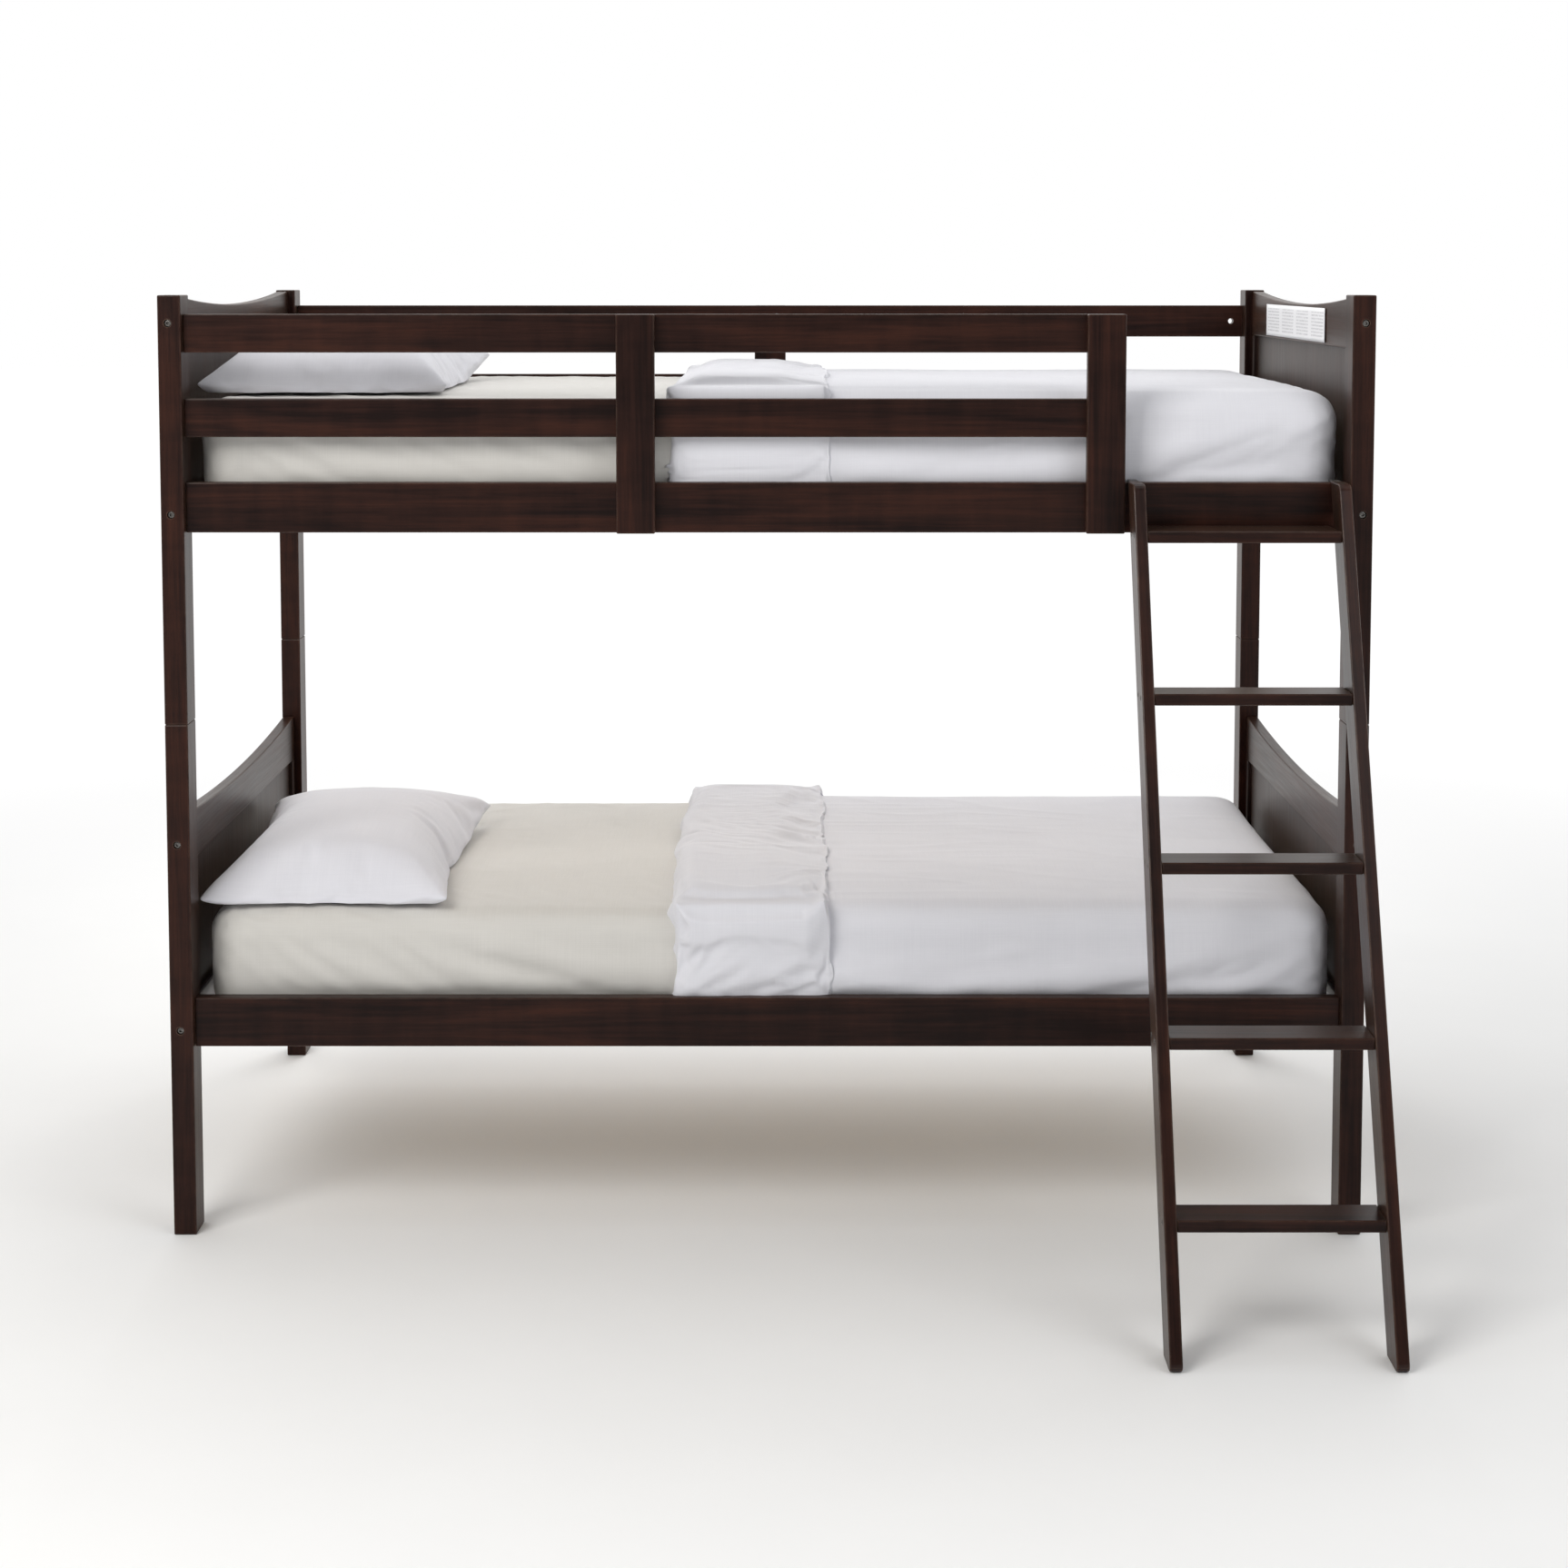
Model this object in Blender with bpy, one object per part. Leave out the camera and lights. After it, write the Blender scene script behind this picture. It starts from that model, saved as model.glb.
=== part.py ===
"""Twin-over-twin bunk bed with a hook-on ladder. Metres, +Z up, floor at z = 0.

The origin is the middle of the whole footprint, ladder included. +X runs along the bed
towards the ladder's end, and the ladder stands on the -Y side.
"""

import math

import bmesh
import bpy
from mathutils import Vector

# The two bunks. Heights inside a bunk are measured from the bottom of its own posts.
LENGTH = 2.020  # over the posts' outer faces
DEPTH = 1.070  # front posts' front to back posts' back
LOWER_POST_HEIGHT = 0.877
UPPER_POST_HEIGHT = 0.719
POST_WIDTH = 0.0385
POST_DEPTH = 0.060
DECK_RISE = 0.3225  # underside of every rail

# Side rails, their inner ledges and the slats
SIDE_RAIL_HEIGHT = 0.084
SIDE_RAIL_THICKNESS = 0.025
RAIL_SETBACK = 0.015  # rails' outer face behind the posts' face
CLEAT_HEIGHT = 0.026
CLEAT_DEPTH = 0.022
CLEAT_LIFT = 0.002
SLAT_COUNT = 14
SLAT_WIDTH = 0.070
SLAT_THICKNESS = 0.018
STRAP_WIDTH = 0.022
STRAP_THICKNESS = 0.003
STRAP_INSET = 0.180  # from the slats' ends to the middle of a strap

# End frames: a rail with a dished top, a bottom rail, and a thin panel with its two stiles
END_RAIL_THICKNESS = 0.022
END_RAIL_INSET = 0.002  # from the posts' outer face
END_BOTTOM_HEIGHT = 0.064
END_TOP_LIFT = 0.305  # underside of the top rail above the deck
END_TOP_HEIGHT = 0.089  # at its ends
END_TOP_SAG = 0.019
END_STILE_WIDTH = 0.018
PANEL_THICKNESS = 0.006
PANEL_INSET = 0.0095  # from the posts' outer face
TONGUE = 0.006  # how far the panel enters the grooves of its rails

# Guards of the upper bunk
GUARD_HEIGHT = 0.064
GUARD_THICKNESS = 0.020
GUARD_LIFTS = {"middle": 0.160, "top": 0.301}  # undersides above the deck
BOARD_WIDTH = 0.064
BOARD_THICKNESS = 0.020
BOARD_SPACING = 0.7825  # between the middles of the front guard's two boards
GRIP_HOLE_RADIUS = 0.0055
GRIP_HOLE_FROM_POST = 0.025

# Bolt bores and the pins between the bunks
BOLT_HEAD_RADIUS = 0.0065
BOLT_HEAD_DEPTH = 0.009
BOLT_RADIUS = 0.0035
BOLT_INSET = 0.017  # from the posts' outer side to the end frame's bolts
END_BOLT_LIFTS = (0.031, 0.350)  # above the deck
SIDE_BOLT_LIFT = 0.062
PIN_RADIUS = 0.005
PIN_LENGTH = 0.080

# Ladder
LADDER_REACH = 0.563  # its feet in front of the posts
LADDER_WIDTH = 0.358
LADDER_POST_GAP = 0.011
LADDER_GUARD_GAP = 0.0065
LADDER_RISE = 0.003  # stiles' tops above the side rail
STILE_THICKNESS = 0.020
STILE_DEPTH = 0.064
STILE_TOP_RADIUS = 0.016
STILE_FOOT_RADIUS = 0.010
TREAD_COUNT = 5
TREAD_PITCH = 0.2516
TREAD_THICKNESS = 0.019
TREAD_DEPTH = 0.070
TOP_TREAD_DROP = 0.075
HOOK_THICKNESS = 0.003
HOOK_WIDTH = 0.014
HOOK_LEG = 0.070
HOOK_DROP = 0.030

# Bedding
MATTRESS_HEIGHT = 0.178
MATTRESS_END_CLEARANCE = 0.0065
MATTRESS_SIDE_CLEARANCE = 0.0175
MATTRESS_ROUNDING = 0.020
COMFORTER_LENGTH = 1.145
COMFORTER_LOFT = 0.019
COMFORTER_SKIRT = 0.0125
COMFORTER_TUCK = 0.020  # how far its sides go down inside the rails
COMFORTER_ROUNDING = 0.011
FOLD_LENGTH = 0.280
FOLD_LOFT = 0.014
PILLOW_LENGTH = 0.420
PILLOW_WIDTH = 0.660
PILLOW_HEIGHT = 0.110
PILLOW_RIM = 0.030
PILLOW_END_GAP = 0.0015
PILLOW_FRONT_GAPS = {"lower": 0.030, "upper": 0.080}

# General
EASED = 0.002  # rounded edges of the wood
GAP = 0.0003  # between pieces that touch
ROUND_SIDES = 20

# Derived places
BOARD_PROUD = BOARD_THICKNESS - RAIL_SETBACK  # boards in front of the posts' faces
FRONT = -DEPTH / 2  # posts' front face, in a bunk's own frame
INNER_X = LENGTH / 2 - POST_WIDTH
INNER_Y = DEPTH / 2 - POST_DEPTH
RAIL_FACE = DEPTH / 2 - RAIL_SETBACK
RAIL_BACK = RAIL_FACE - SIDE_RAIL_THICKNESS
RAIL_TOP = DECK_RISE + SIDE_RAIL_HEIGHT
SLAT_BOTTOM = DECK_RISE + CLEAT_LIFT + CLEAT_HEIGHT + GAP
MATTRESS_BOTTOM = SLAT_BOTTOM + SLAT_THICKNESS + STRAP_THICKNESS + GAP
MATTRESS_TOP = MATTRESS_BOTTOM + MATTRESS_HEIGHT
END_FACE_X = LENGTH / 2 - END_RAIL_INSET - END_RAIL_THICKNESS
BERTH_X = min(INNER_X, END_FACE_X)  # half the clear length, between the posts or the end rails
MATTRESS_X = BERTH_X - MATTRESS_END_CLEARANCE
MATTRESS_Y = RAIL_BACK - MATTRESS_SIDE_CLEARANCE
LADDER_RIGHT = INNER_X - LADDER_POST_GAP
LADDER_LEFT = LADDER_RIGHT - LADDER_WIDTH
GUARD_END = LADDER_LEFT - LADDER_GUARD_GAP
UPPER_BASE = LOWER_POST_HEIGHT + GAP
LADDER_TOP = UPPER_BASE + RAIL_TOP + LADDER_RISE

ENDS = {"left": -1, "right": 1}
SIDES = {"front": -1, "back": 1}


def clear_scene():
    for old in list(bpy.data.objects):
        bpy.data.objects.remove(old, do_unlink=True)


def finish(name, color, roughness, metallic=0.0):
    made = bpy.data.materials.new(name)
    made.use_nodes = True
    made.diffuse_color = (*color, 1.0)
    shader = made.node_tree.nodes["Principled BSDF"]
    shader.inputs["Base Color"].default_value = (*color, 1.0)
    shader.inputs["Roughness"].default_value = roughness
    shader.inputs["Metallic"].default_value = metallic
    return made


def body(name, parent, location):
    """An empty that carries the pieces which move together."""
    made = bpy.data.objects.new(name, None)
    bpy.context.scene.collection.objects.link(made)
    made.parent = parent
    made.location = location
    return made


def piece(name, mesh, owner, location, material=None):
    made = bpy.data.objects.new(name, mesh)
    bpy.context.scene.collection.objects.link(made)
    made.parent = owner
    made.location = location
    if material:
        mesh.materials.append(material)
    return made


def mesh_of(name, shape):
    mesh = bpy.data.meshes.new(name)
    bmesh.ops.recalc_face_normals(shape, faces=shape.faces)
    shape.to_mesh(mesh)
    shape.free()
    return mesh


def add_box(shape, low, high):
    low, high = Vector(low), Vector(high)
    made = bmesh.ops.create_cube(shape, size=1.0)["verts"]
    bmesh.ops.scale(shape, vec=high - low, verts=made)
    bmesh.ops.translate(shape, vec=(low + high) / 2, verts=made)


def add_bore(shape, start, along, steps):
    """Adds a stepped round cutter: steps are (radius, from, to) distances from start along an axis."""
    turn = Vector((0, 0, 1)).rotation_difference(Vector(along)).to_matrix().to_4x4()
    rings = [(radius, at) for radius, near, far in steps for at in (near, far)]
    loops = []
    for radius, at in rings:
        ring = bmesh.ops.create_circle(shape, segments=ROUND_SIDES, radius=radius)["verts"]
        bmesh.ops.translate(shape, vec=(0, 0, at), verts=ring)
        bmesh.ops.transform(shape, matrix=turn, verts=ring)
        bmesh.ops.translate(shape, vec=start, verts=ring)
        loops.append(ring)
    for one, two in zip(loops, loops[1:]):
        for i in range(ROUND_SIDES):
            j = (i + 1) % ROUND_SIDES
            shape.faces.new((one[i], one[j], two[j], two[i]))
    shape.faces.new(loops[0])
    shape.faces.new(loops[-1])


def wood_box(name, low, high, owner, material, eased=EASED, segments=2):
    """A box between two corners in its body's frame, edges rounded, its origin at its middle."""
    low, high = Vector(low), Vector(high)
    shape = bmesh.new()
    add_box(shape, (low - high) / 2, (high - low) / 2)
    made = piece(name, mesh_of(name, shape), owner, (low + high) / 2, material)
    round_edges(made, eased, segments)
    return made


def extruded(name, outline, low_x, high_x, owner, material):
    """A closed outline of (y, z) points carried along X, its origin in the middle of the width."""
    half = (high_x - low_x) / 2
    shape = bmesh.new()
    face = shape.faces.new([shape.verts.new((-half, y, z)) for y, z in outline])
    moved = bmesh.ops.extrude_face_region(shape, geom=[face])["geom"]
    verts = [v for v in moved if isinstance(v, bmesh.types.BMVert)]
    bmesh.ops.translate(shape, vec=(2 * half, 0, 0), verts=verts)
    return piece(name, mesh_of(name, shape), owner, ((low_x + high_x) / 2, 0, 0), material)


def round_edges(target, width, segments=2):
    rounding = target.modifiers.new("rounded_edges", "BEVEL")
    rounding.width = width
    rounding.segments = segments
    rounding.limit_method = "ANGLE"
    rounding.angle_limit = math.radians(40)


def combine(target, shape, operation="DIFFERENCE", eased=0.0):
    """Cuts a shape, given in the frame of the target's body, out of the target, or adds it."""
    cutter = piece(target.name + "_" + operation.lower(), mesh_of(target.name, shape), target.parent, (0, 0, 0))
    cutter.hide_render = True
    cutter.display_type = "WIRE"
    if eased:
        round_edges(cutter, eased)
    cut = target.modifiers.new(cutter.name, "BOOLEAN")
    cut.operation = operation
    cut.solver = "EXACT"
    cut.object = cutter


def arc(centre, radius, first, last, count):
    """Points of an arc between two angles in degrees."""
    angles = [math.radians(first + (last - first) * i / count) for i in range(count + 1)]
    return [(centre[0] + radius * math.cos(a), centre[1] + radius * math.sin(a)) for a in angles]


def panel_span(end, spare=0.0):
    """The panel's two faces along X, with some spare room on each."""
    outer = LENGTH / 2 - PANEL_INSET
    return sorted((end * (outer + spare), end * (outer - PANEL_THICKNESS - spare)))


def end_rail_span(end):
    outer = end * (LENGTH / 2 - END_RAIL_INSET)
    return sorted((outer, outer - end * END_RAIL_THICKNESS))


def panel_heights():
    bottom = DECK_RISE + END_BOTTOM_HEIGHT - TONGUE
    return bottom, DECK_RISE + END_TOP_LIFT + TONGUE


def rails_on_post(bunk, end, side):
    """Heights of the bolts that hold rails on a post's inner face."""
    lifts = [SIDE_BOLT_LIFT]
    if bunk == "upper" and (end < 0 or side > 0):
        lifts += [lift + GUARD_HEIGHT / 2 for lift in GUARD_LIFTS.values()]
    return [DECK_RISE + lift for lift in lifts]


def post_cutter(bunk, end, side, height):
    """Everything that is cut out of a post: its bolt bores and the pin's hole."""
    shape = bmesh.new()
    for lift in END_BOLT_LIFTS:
        start = (end * (LENGTH / 2 - BOLT_INSET), side * DEPTH / 2, DECK_RISE + lift)
        steps = [(BOLT_HEAD_RADIUS, -BOLT_HEAD_DEPTH, BOLT_HEAD_DEPTH),
                 (BOLT_RADIUS, BOLT_HEAD_DEPTH, POST_DEPTH * 1.5)]
        add_bore(shape, start, (0, -side, 0), steps)
    for z in rails_on_post(bunk, end, side):
        start = (end * LENGTH / 2, side * (RAIL_FACE - GUARD_THICKNESS / 2), z)
        steps = [(BOLT_HEAD_RADIUS, -BOLT_HEAD_DEPTH, BOLT_HEAD_DEPTH),
                 (BOLT_RADIUS, BOLT_HEAD_DEPTH, POST_WIDTH * 1.5)]
        add_bore(shape, start, (-end, 0, 0), steps)
    foot, away = (height, -1) if bunk == "lower" else (0, 1)
    start = (end * (LENGTH - POST_WIDTH) / 2, side * (DEPTH - POST_DEPTH) / 2, foot)
    depth = PIN_LENGTH / 2 + GAP
    add_bore(shape, start, (0, 0, away), [(PIN_RADIUS + GAP, -depth, depth)])
    return shape


def add_post(bunk, end_name, side_name, height, owner, wood):
    end, side = ENDS[end_name], SIDES[side_name]
    x = end * (LENGTH - POST_WIDTH) / 2
    y = side * (DEPTH - POST_DEPTH) / 2
    low = (x - POST_WIDTH / 2, y - POST_DEPTH / 2, 0)
    high = (x + POST_WIDTH / 2, y + POST_DEPTH / 2, height)
    post = wood_box(f"{bunk}_post_{side_name}_{end_name}", low, high, owner, wood)
    combine(post, post_cutter(bunk, end, side, height))


def dished_outline():
    """Outline of an end frame's top rail: straight below, a shallow arc above."""
    half = INNER_Y - GAP
    bottom = DECK_RISE + END_TOP_LIFT
    top = bottom + END_TOP_HEIGHT
    radius = (half**2 + END_TOP_SAG**2) / (2 * END_TOP_SAG)
    reach = math.degrees(math.asin(half / radius))
    centre = (0, top - END_TOP_SAG + radius)
    return [(-half, bottom), (half, bottom)] + arc(centre, radius, -90 + reach, -90 - reach, 18)


def add_end_frame(bunk, end_name, owner, wood, panel_wood):
    end = ENDS[end_name]
    low_x, high_x = end_rail_span(end)
    half = INNER_Y - GAP
    bottom, top = panel_heights()
    groove_low, groove_high = panel_span(end, GAP)
    groove = ((groove_low, -INNER_Y - POST_DEPTH), (groove_high, INNER_Y + POST_DEPTH))

    top_rail = extruded(f"{bunk}_end_top_rail_{end_name}", dished_outline(), low_x, high_x, owner, wood)
    round_edges(top_rail, EASED)
    shape = bmesh.new()
    add_box(shape, (*groove[0], top - 2 * TONGUE), (*groove[1], top + GAP))
    combine(top_rail, shape)

    low, high = (low_x, -half, DECK_RISE), (high_x, half, DECK_RISE + END_BOTTOM_HEIGHT)
    bottom_rail = wood_box(f"{bunk}_end_bottom_rail_{end_name}", low, high, owner, wood)
    shape = bmesh.new()
    add_box(shape, (*groove[0], bottom - GAP), (*groove[1], bottom + 2 * TONGUE))
    combine(bottom_rail, shape)

    near, far = panel_span(end)
    edge = half - END_STILE_WIDTH / 2
    low, high = (near, -edge, bottom), (far, edge, top)
    panel = wood_box(f"{bunk}_end_panel_{end_name}", low, high, owner, panel_wood, EASED / 4, 1)
    stiles = bmesh.new()
    for side in SIDES.values():
        near, far = sorted((side * half, side * (half - END_STILE_WIDTH)))
        low, high = (low_x, near, bottom + TONGUE + GAP), (high_x, far, top - TONGUE - GAP)
        add_box(stiles, low, high)
    combine(panel, stiles, "UNION", EASED)


def add_side_rail(bunk, side_name, owner, wood):
    side = SIDES[side_name]
    half = INNER_X - GAP
    near, far = sorted((side * RAIL_FACE, side * RAIL_BACK))
    wood_box(f"{bunk}_side_rail_{side_name}", (-half, near, DECK_RISE), (half, far, RAIL_TOP), owner, wood)
    ledge = side * (RAIL_BACK - GAP)
    near, far = sorted((ledge, ledge - side * CLEAT_DEPTH))
    reach = MATTRESS_X
    bottom = DECK_RISE + CLEAT_LIFT
    low, high = (-reach, near, bottom), (reach, far, bottom + CLEAT_HEIGHT)
    wood_box(f"{bunk}_slat_cleat_{side_name}", low, high, owner, wood, EASED / 2, 1)


def add_slat_deck(bunk, owner, pine):
    """Slats lying on the two ledges, held at their spacing by two webbing straps."""
    half_y = RAIL_BACK - 2 * GAP - EASED
    pitch = (2 * MATTRESS_X - SLAT_WIDTH) / (SLAT_COUNT - 1)
    top = SLAT_BOTTOM + SLAT_THICKNESS
    strap = bmesh.new()
    for side in SIDES.values():
        y = side * (half_y - STRAP_INSET)
        low = (-MATTRESS_X + SLAT_WIDTH / 4, y - STRAP_WIDTH / 2, top - EASED / 2)
        high = (MATTRESS_X - SLAT_WIDTH / 4, y + STRAP_WIDTH / 2, top + STRAP_THICKNESS)
        add_box(strap, low, high)
    slats = bmesh.new()
    for i in range(SLAT_COUNT):
        x = -MATTRESS_X + i * pitch
        add_box(slats, (x, -half_y, SLAT_BOTTOM), (x + SLAT_WIDTH, half_y, top))
    deck = piece(f"{bunk}_slat_deck", mesh_of(f"{bunk}_slat_deck", slats), owner, (0, 0, 0), pine)
    combine(deck, strap, "UNION")


def add_bunk(bunk, height, owner, wood, panel_wood, pine):
    for side_name in SIDES:
        for end_name in ENDS:
            add_post(bunk, end_name, side_name, height, owner, wood)
        add_side_rail(bunk, side_name, owner, wood)
    for end_name in ENDS:
        add_end_frame(bunk, end_name, owner, wood, panel_wood)
    add_slat_deck(bunk, owner, pine)


def add_pins(owner, steel):
    """Steel dowels that stand in the lower posts and locate the upper ones."""
    for side_name, side in SIDES.items():
        for end_name, end in ENDS.items():
            name = f"bunk_pin_{side_name}_{end_name}"
            half = PIN_LENGTH / 2
            steps = [(PIN_RADIUS * 0.7, -half, -half), (PIN_RADIUS, EASED - half, half - EASED),
                     (PIN_RADIUS * 0.7, half, half)]
            shape = bmesh.new()
            add_bore(shape, (0, 0, 0), (0, 0, 1), steps)
            bmesh.ops.remove_doubles(shape, verts=shape.verts, dist=GAP / 10)
            x = end * (LENGTH - POST_WIDTH) / 2
            y = side * (DEPTH - POST_DEPTH) / 2
            made = piece(name, mesh_of(name, shape), owner, (x, y, LOWER_POST_HEIGHT), steel)
            made.data.shade_smooth()
            made.data.set_sharp_from_angle(angle=math.radians(35))


def add_guard_rails(side_name, right_end, owner, wood):
    side = SIDES[side_name]
    near, far = sorted((side * RAIL_FACE, side * (RAIL_FACE - GUARD_THICKNESS)))
    for level, lift in GUARD_LIFTS.items():
        bottom = DECK_RISE + lift
        low, high = (GAP - INNER_X, near, bottom), (right_end, far, bottom + GUARD_HEIGHT)
        rail = wood_box(f"{side_name}_guard_rail_{level}", low, high, owner, wood)
        if side_name == "back" and level == "top":
            shape = bmesh.new()
            start = (INNER_X - GRIP_HOLE_FROM_POST, far, bottom + GUARD_HEIGHT / 2)
            add_bore(shape, start, (0, -1, 0), [(GRIP_HOLE_RADIUS, -GUARD_THICKNESS, 2 * GUARD_THICKNESS)])
            combine(rail, shape)


def add_guard_board(name, centre_x, side, owner, wood):
    """An upright board on the outer faces of the guard rails and the side rail."""
    face = side * (RAIL_FACE + GAP)
    near, far = sorted((face, face + side * (BOARD_THICKNESS - GAP)))
    top = DECK_RISE + GUARD_LIFTS["top"] + GUARD_HEIGHT
    low, high = (centre_x - BOARD_WIDTH / 2, near, DECK_RISE), (centre_x + BOARD_WIDTH / 2, far, top)
    wood_box(name, low, high, owner, wood)


def add_guards(owner, wood):
    add_guard_rails("front", GUARD_END, owner, wood)
    add_guard_rails("back", INNER_X - GAP, owner, wood)
    end_board = GUARD_END - BOARD_WIDTH / 2
    add_guard_board("front_guard_end_board", end_board, -1, owner, wood)
    add_guard_board("front_guard_middle_board", end_board - BOARD_SPACING, -1, owner, wood)
    add_guard_board("back_guard_centre_board", 0, 1, owner, wood)


def ladder_lean():
    """Angle from the vertical at which feet and hooks are both in their places."""
    across = LADDER_REACH + RAIL_SETBACK - HOOK_THICKNESS - 3 * GAP
    reach = math.hypot(across, LADDER_TOP)
    return math.acos(STILE_DEPTH / reach) - math.atan2(LADDER_TOP, across)


def toe_trim():
    """How far a foot's rounded front corner stands back from the stile's own front line."""
    half = (math.pi / 2 - ladder_lean()) / 2
    return STILE_FOOT_RADIUS * (1 / math.tan(half) - 1)


def stile_line(z):
    """Y of the stiles' front edge at a height; Y is counted from the posts' front face."""
    return -LADDER_REACH + z * math.tan(ladder_lean())


def rounded_corner(before, corner, after, radius, count=4):
    """Points that round one corner of an outline with an arc."""
    before, corner, after = Vector(before), Vector(corner), Vector(after)
    one, two = (before - corner).normalized(), (after - corner).normalized()
    half = one.angle(two) / 2
    start = corner + one * radius / math.tan(half)
    end = corner + two * radius / math.tan(half)
    centre = corner + (one + two).normalized() * radius / math.sin(half)
    first = math.degrees(math.atan2(start.y - centre.y, start.x - centre.x))
    last = math.degrees(math.atan2(end.y - centre.y, end.x - centre.x))
    last += 360 * round((first - last) / 360)
    return arc(centre, radius, first, last, count)


def stile_outline():
    """Side view of a stile: level foot and top cuts, both front corners rounded."""
    depth = STILE_DEPTH / math.cos(ladder_lean())
    foot, top = (stile_line(0), 0), (stile_line(LADDER_TOP), LADDER_TOP)
    foot_back, top_back = (foot[0] + depth, 0), (top[0] + depth, LADDER_TOP)
    toe = rounded_corner(top, foot, foot_back, STILE_FOOT_RADIUS)
    brow = rounded_corner(top_back, top, foot, STILE_TOP_RADIUS)
    return toe + [foot_back, top_back] + brow


def hook_outline():
    """Side view of a hook: down the stile's back edge, over the side rail and down behind it."""
    lean = ladder_lean()
    up, back = Vector((math.sin(lean), math.cos(lean))), Vector((math.cos(lean), -math.sin(lean)))
    corner = Vector((stile_line(LADDER_TOP) + STILE_DEPTH / math.cos(lean), LADDER_TOP))
    near, far = corner + back * GAP, corner + back * (GAP + HOOK_THICKNESS)
    under = UPPER_BASE + RAIL_TOP + GAP
    over = under + HOOK_THICKNESS
    inner = RAIL_SETBACK + SIDE_RAIL_THICKNESS + GAP
    outer = inner + HOOK_THICKNESS
    near_top = near + up * (over - near.y) / up.y
    far_top = far + up * (under - far.y) / up.y
    return [near - up * HOOK_LEG, far - up * HOOK_LEG, far_top, (inner, under),
            (inner, under - HOOK_DROP), (outer, under - HOOK_DROP), (outer, over), near_top]


def add_ladder(owner, wood, steel):
    stiles = {"left": LADDER_LEFT, "right": LADDER_RIGHT - STILE_THICKNESS}
    for name, x in stiles.items():
        stile = extruded(f"ladder_stile_{name}", stile_outline(), x, x + STILE_THICKNESS, owner, wood)
        round_edges(stile, EASED)
        middle = x + STILE_THICKNESS / 2
        low_x, high_x = middle - HOOK_WIDTH / 2, middle + HOOK_WIDTH / 2
        extruded(f"ladder_hook_{name}", hook_outline(), low_x, high_x, owner, steel)
    low_x = LADDER_LEFT + STILE_THICKNESS + GAP
    high_x = LADDER_RIGHT - STILE_THICKNESS - GAP
    for i in range(TREAD_COUNT):
        top = LADDER_TOP - TOP_TREAD_DROP - i * TREAD_PITCH
        front = stile_line(top)
        back = RAIL_SETBACK - GAP if i == 0 else front + TREAD_DEPTH
        low, high = (low_x, front, top - TREAD_THICKNESS), (high_x, back, top)
        wood_box(f"ladder_tread_{TREAD_COUNT - i}", low, high, owner, wood)


def add_mattress(bunk, owner, cloth):
    low = (-MATTRESS_X, -MATTRESS_Y, MATTRESS_BOTTOM)
    high = (MATTRESS_X, MATTRESS_Y, MATTRESS_TOP)
    wood_box(f"{bunk}_mattress", low, high, owner, cloth, MATTRESS_ROUNDING, 3)


def add_comforter(bunk, owner, cloth):
    """A thin cover over the foot of the mattress, tucked down its sides, thicker at the fold."""
    right = MATTRESS_X + MATTRESS_END_CLEARANCE - 2 * GAP
    left = right - COMFORTER_LENGTH
    half_y = MATTRESS_Y + COMFORTER_SKIRT
    bottom = RAIL_TOP - COMFORTER_TUCK
    top = MATTRESS_TOP + COMFORTER_LOFT
    cover = wood_box(f"{bunk}_comforter", (left, -half_y, bottom), (right, half_y, top),
                     owner, cloth, COMFORTER_ROUNDING)
    fold = bmesh.new()
    inset = COMFORTER_ROUNDING
    add_box(fold, (left + inset, inset - half_y, top - inset),
            (left + FOLD_LENGTH, half_y - inset, top + FOLD_LOFT))
    combine(cover, fold, "UNION")
    hollow = bmesh.new()
    add_box(hollow, (left - COMFORTER_LENGTH, -MATTRESS_Y - GAP, bottom - MATTRESS_HEIGHT),
            (MATTRESS_X + GAP, MATTRESS_Y + GAP, MATTRESS_TOP + GAP))
    combine(cover, hollow)


def add_pillow(bunk, owner, cloth, columns=12, rows=14):
    """A filled pillow: flat where it lies, crowned above, its sides pulled in between the corners."""
    shape = bmesh.new()

    def point(i, j, upper):
        u, v = 2 * i / columns - 1, 2 * j / rows - 1
        fill = ((1 - u**2) * (1 - v**2)) ** 0.4
        x = u * PILLOW_LENGTH / 2 * (0.95 + 0.05 * v**2)
        y = v * PILLOW_WIDTH / 2 * (0.95 + 0.05 * u**2)
        z = PILLOW_RIM + (PILLOW_HEIGHT - PILLOW_RIM) * fill if upper else PILLOW_RIM * (1 - min(1, 2 * fill))
        return x, y, z

    def on_rim(i, j):
        return i in (0, columns) or j in (0, rows)

    above = {(i, j): shape.verts.new(point(i, j, True)) for i in range(columns + 1) for j in range(rows + 1)}
    below = {key: above[key] if on_rim(*key) else shape.verts.new(point(*key, False)) for key in above}
    for i in range(columns):
        for j in range(rows):
            corners = [(i, j), (i + 1, j), (i + 1, j + 1), (i, j + 1)]
            shape.faces.new([above[c] for c in corners])
            shape.faces.new([below[c] for c in reversed(corners)])
    y = PILLOW_FRONT_GAPS[bunk] + PILLOW_WIDTH / 2 - RAIL_BACK
    x = PILLOW_LENGTH / 2 + PILLOW_END_GAP - BERTH_X
    name = f"{bunk}_pillow"
    made = piece(name, mesh_of(name, shape), owner, (x, y, 0), cloth)
    made.data.shade_smooth()


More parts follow.
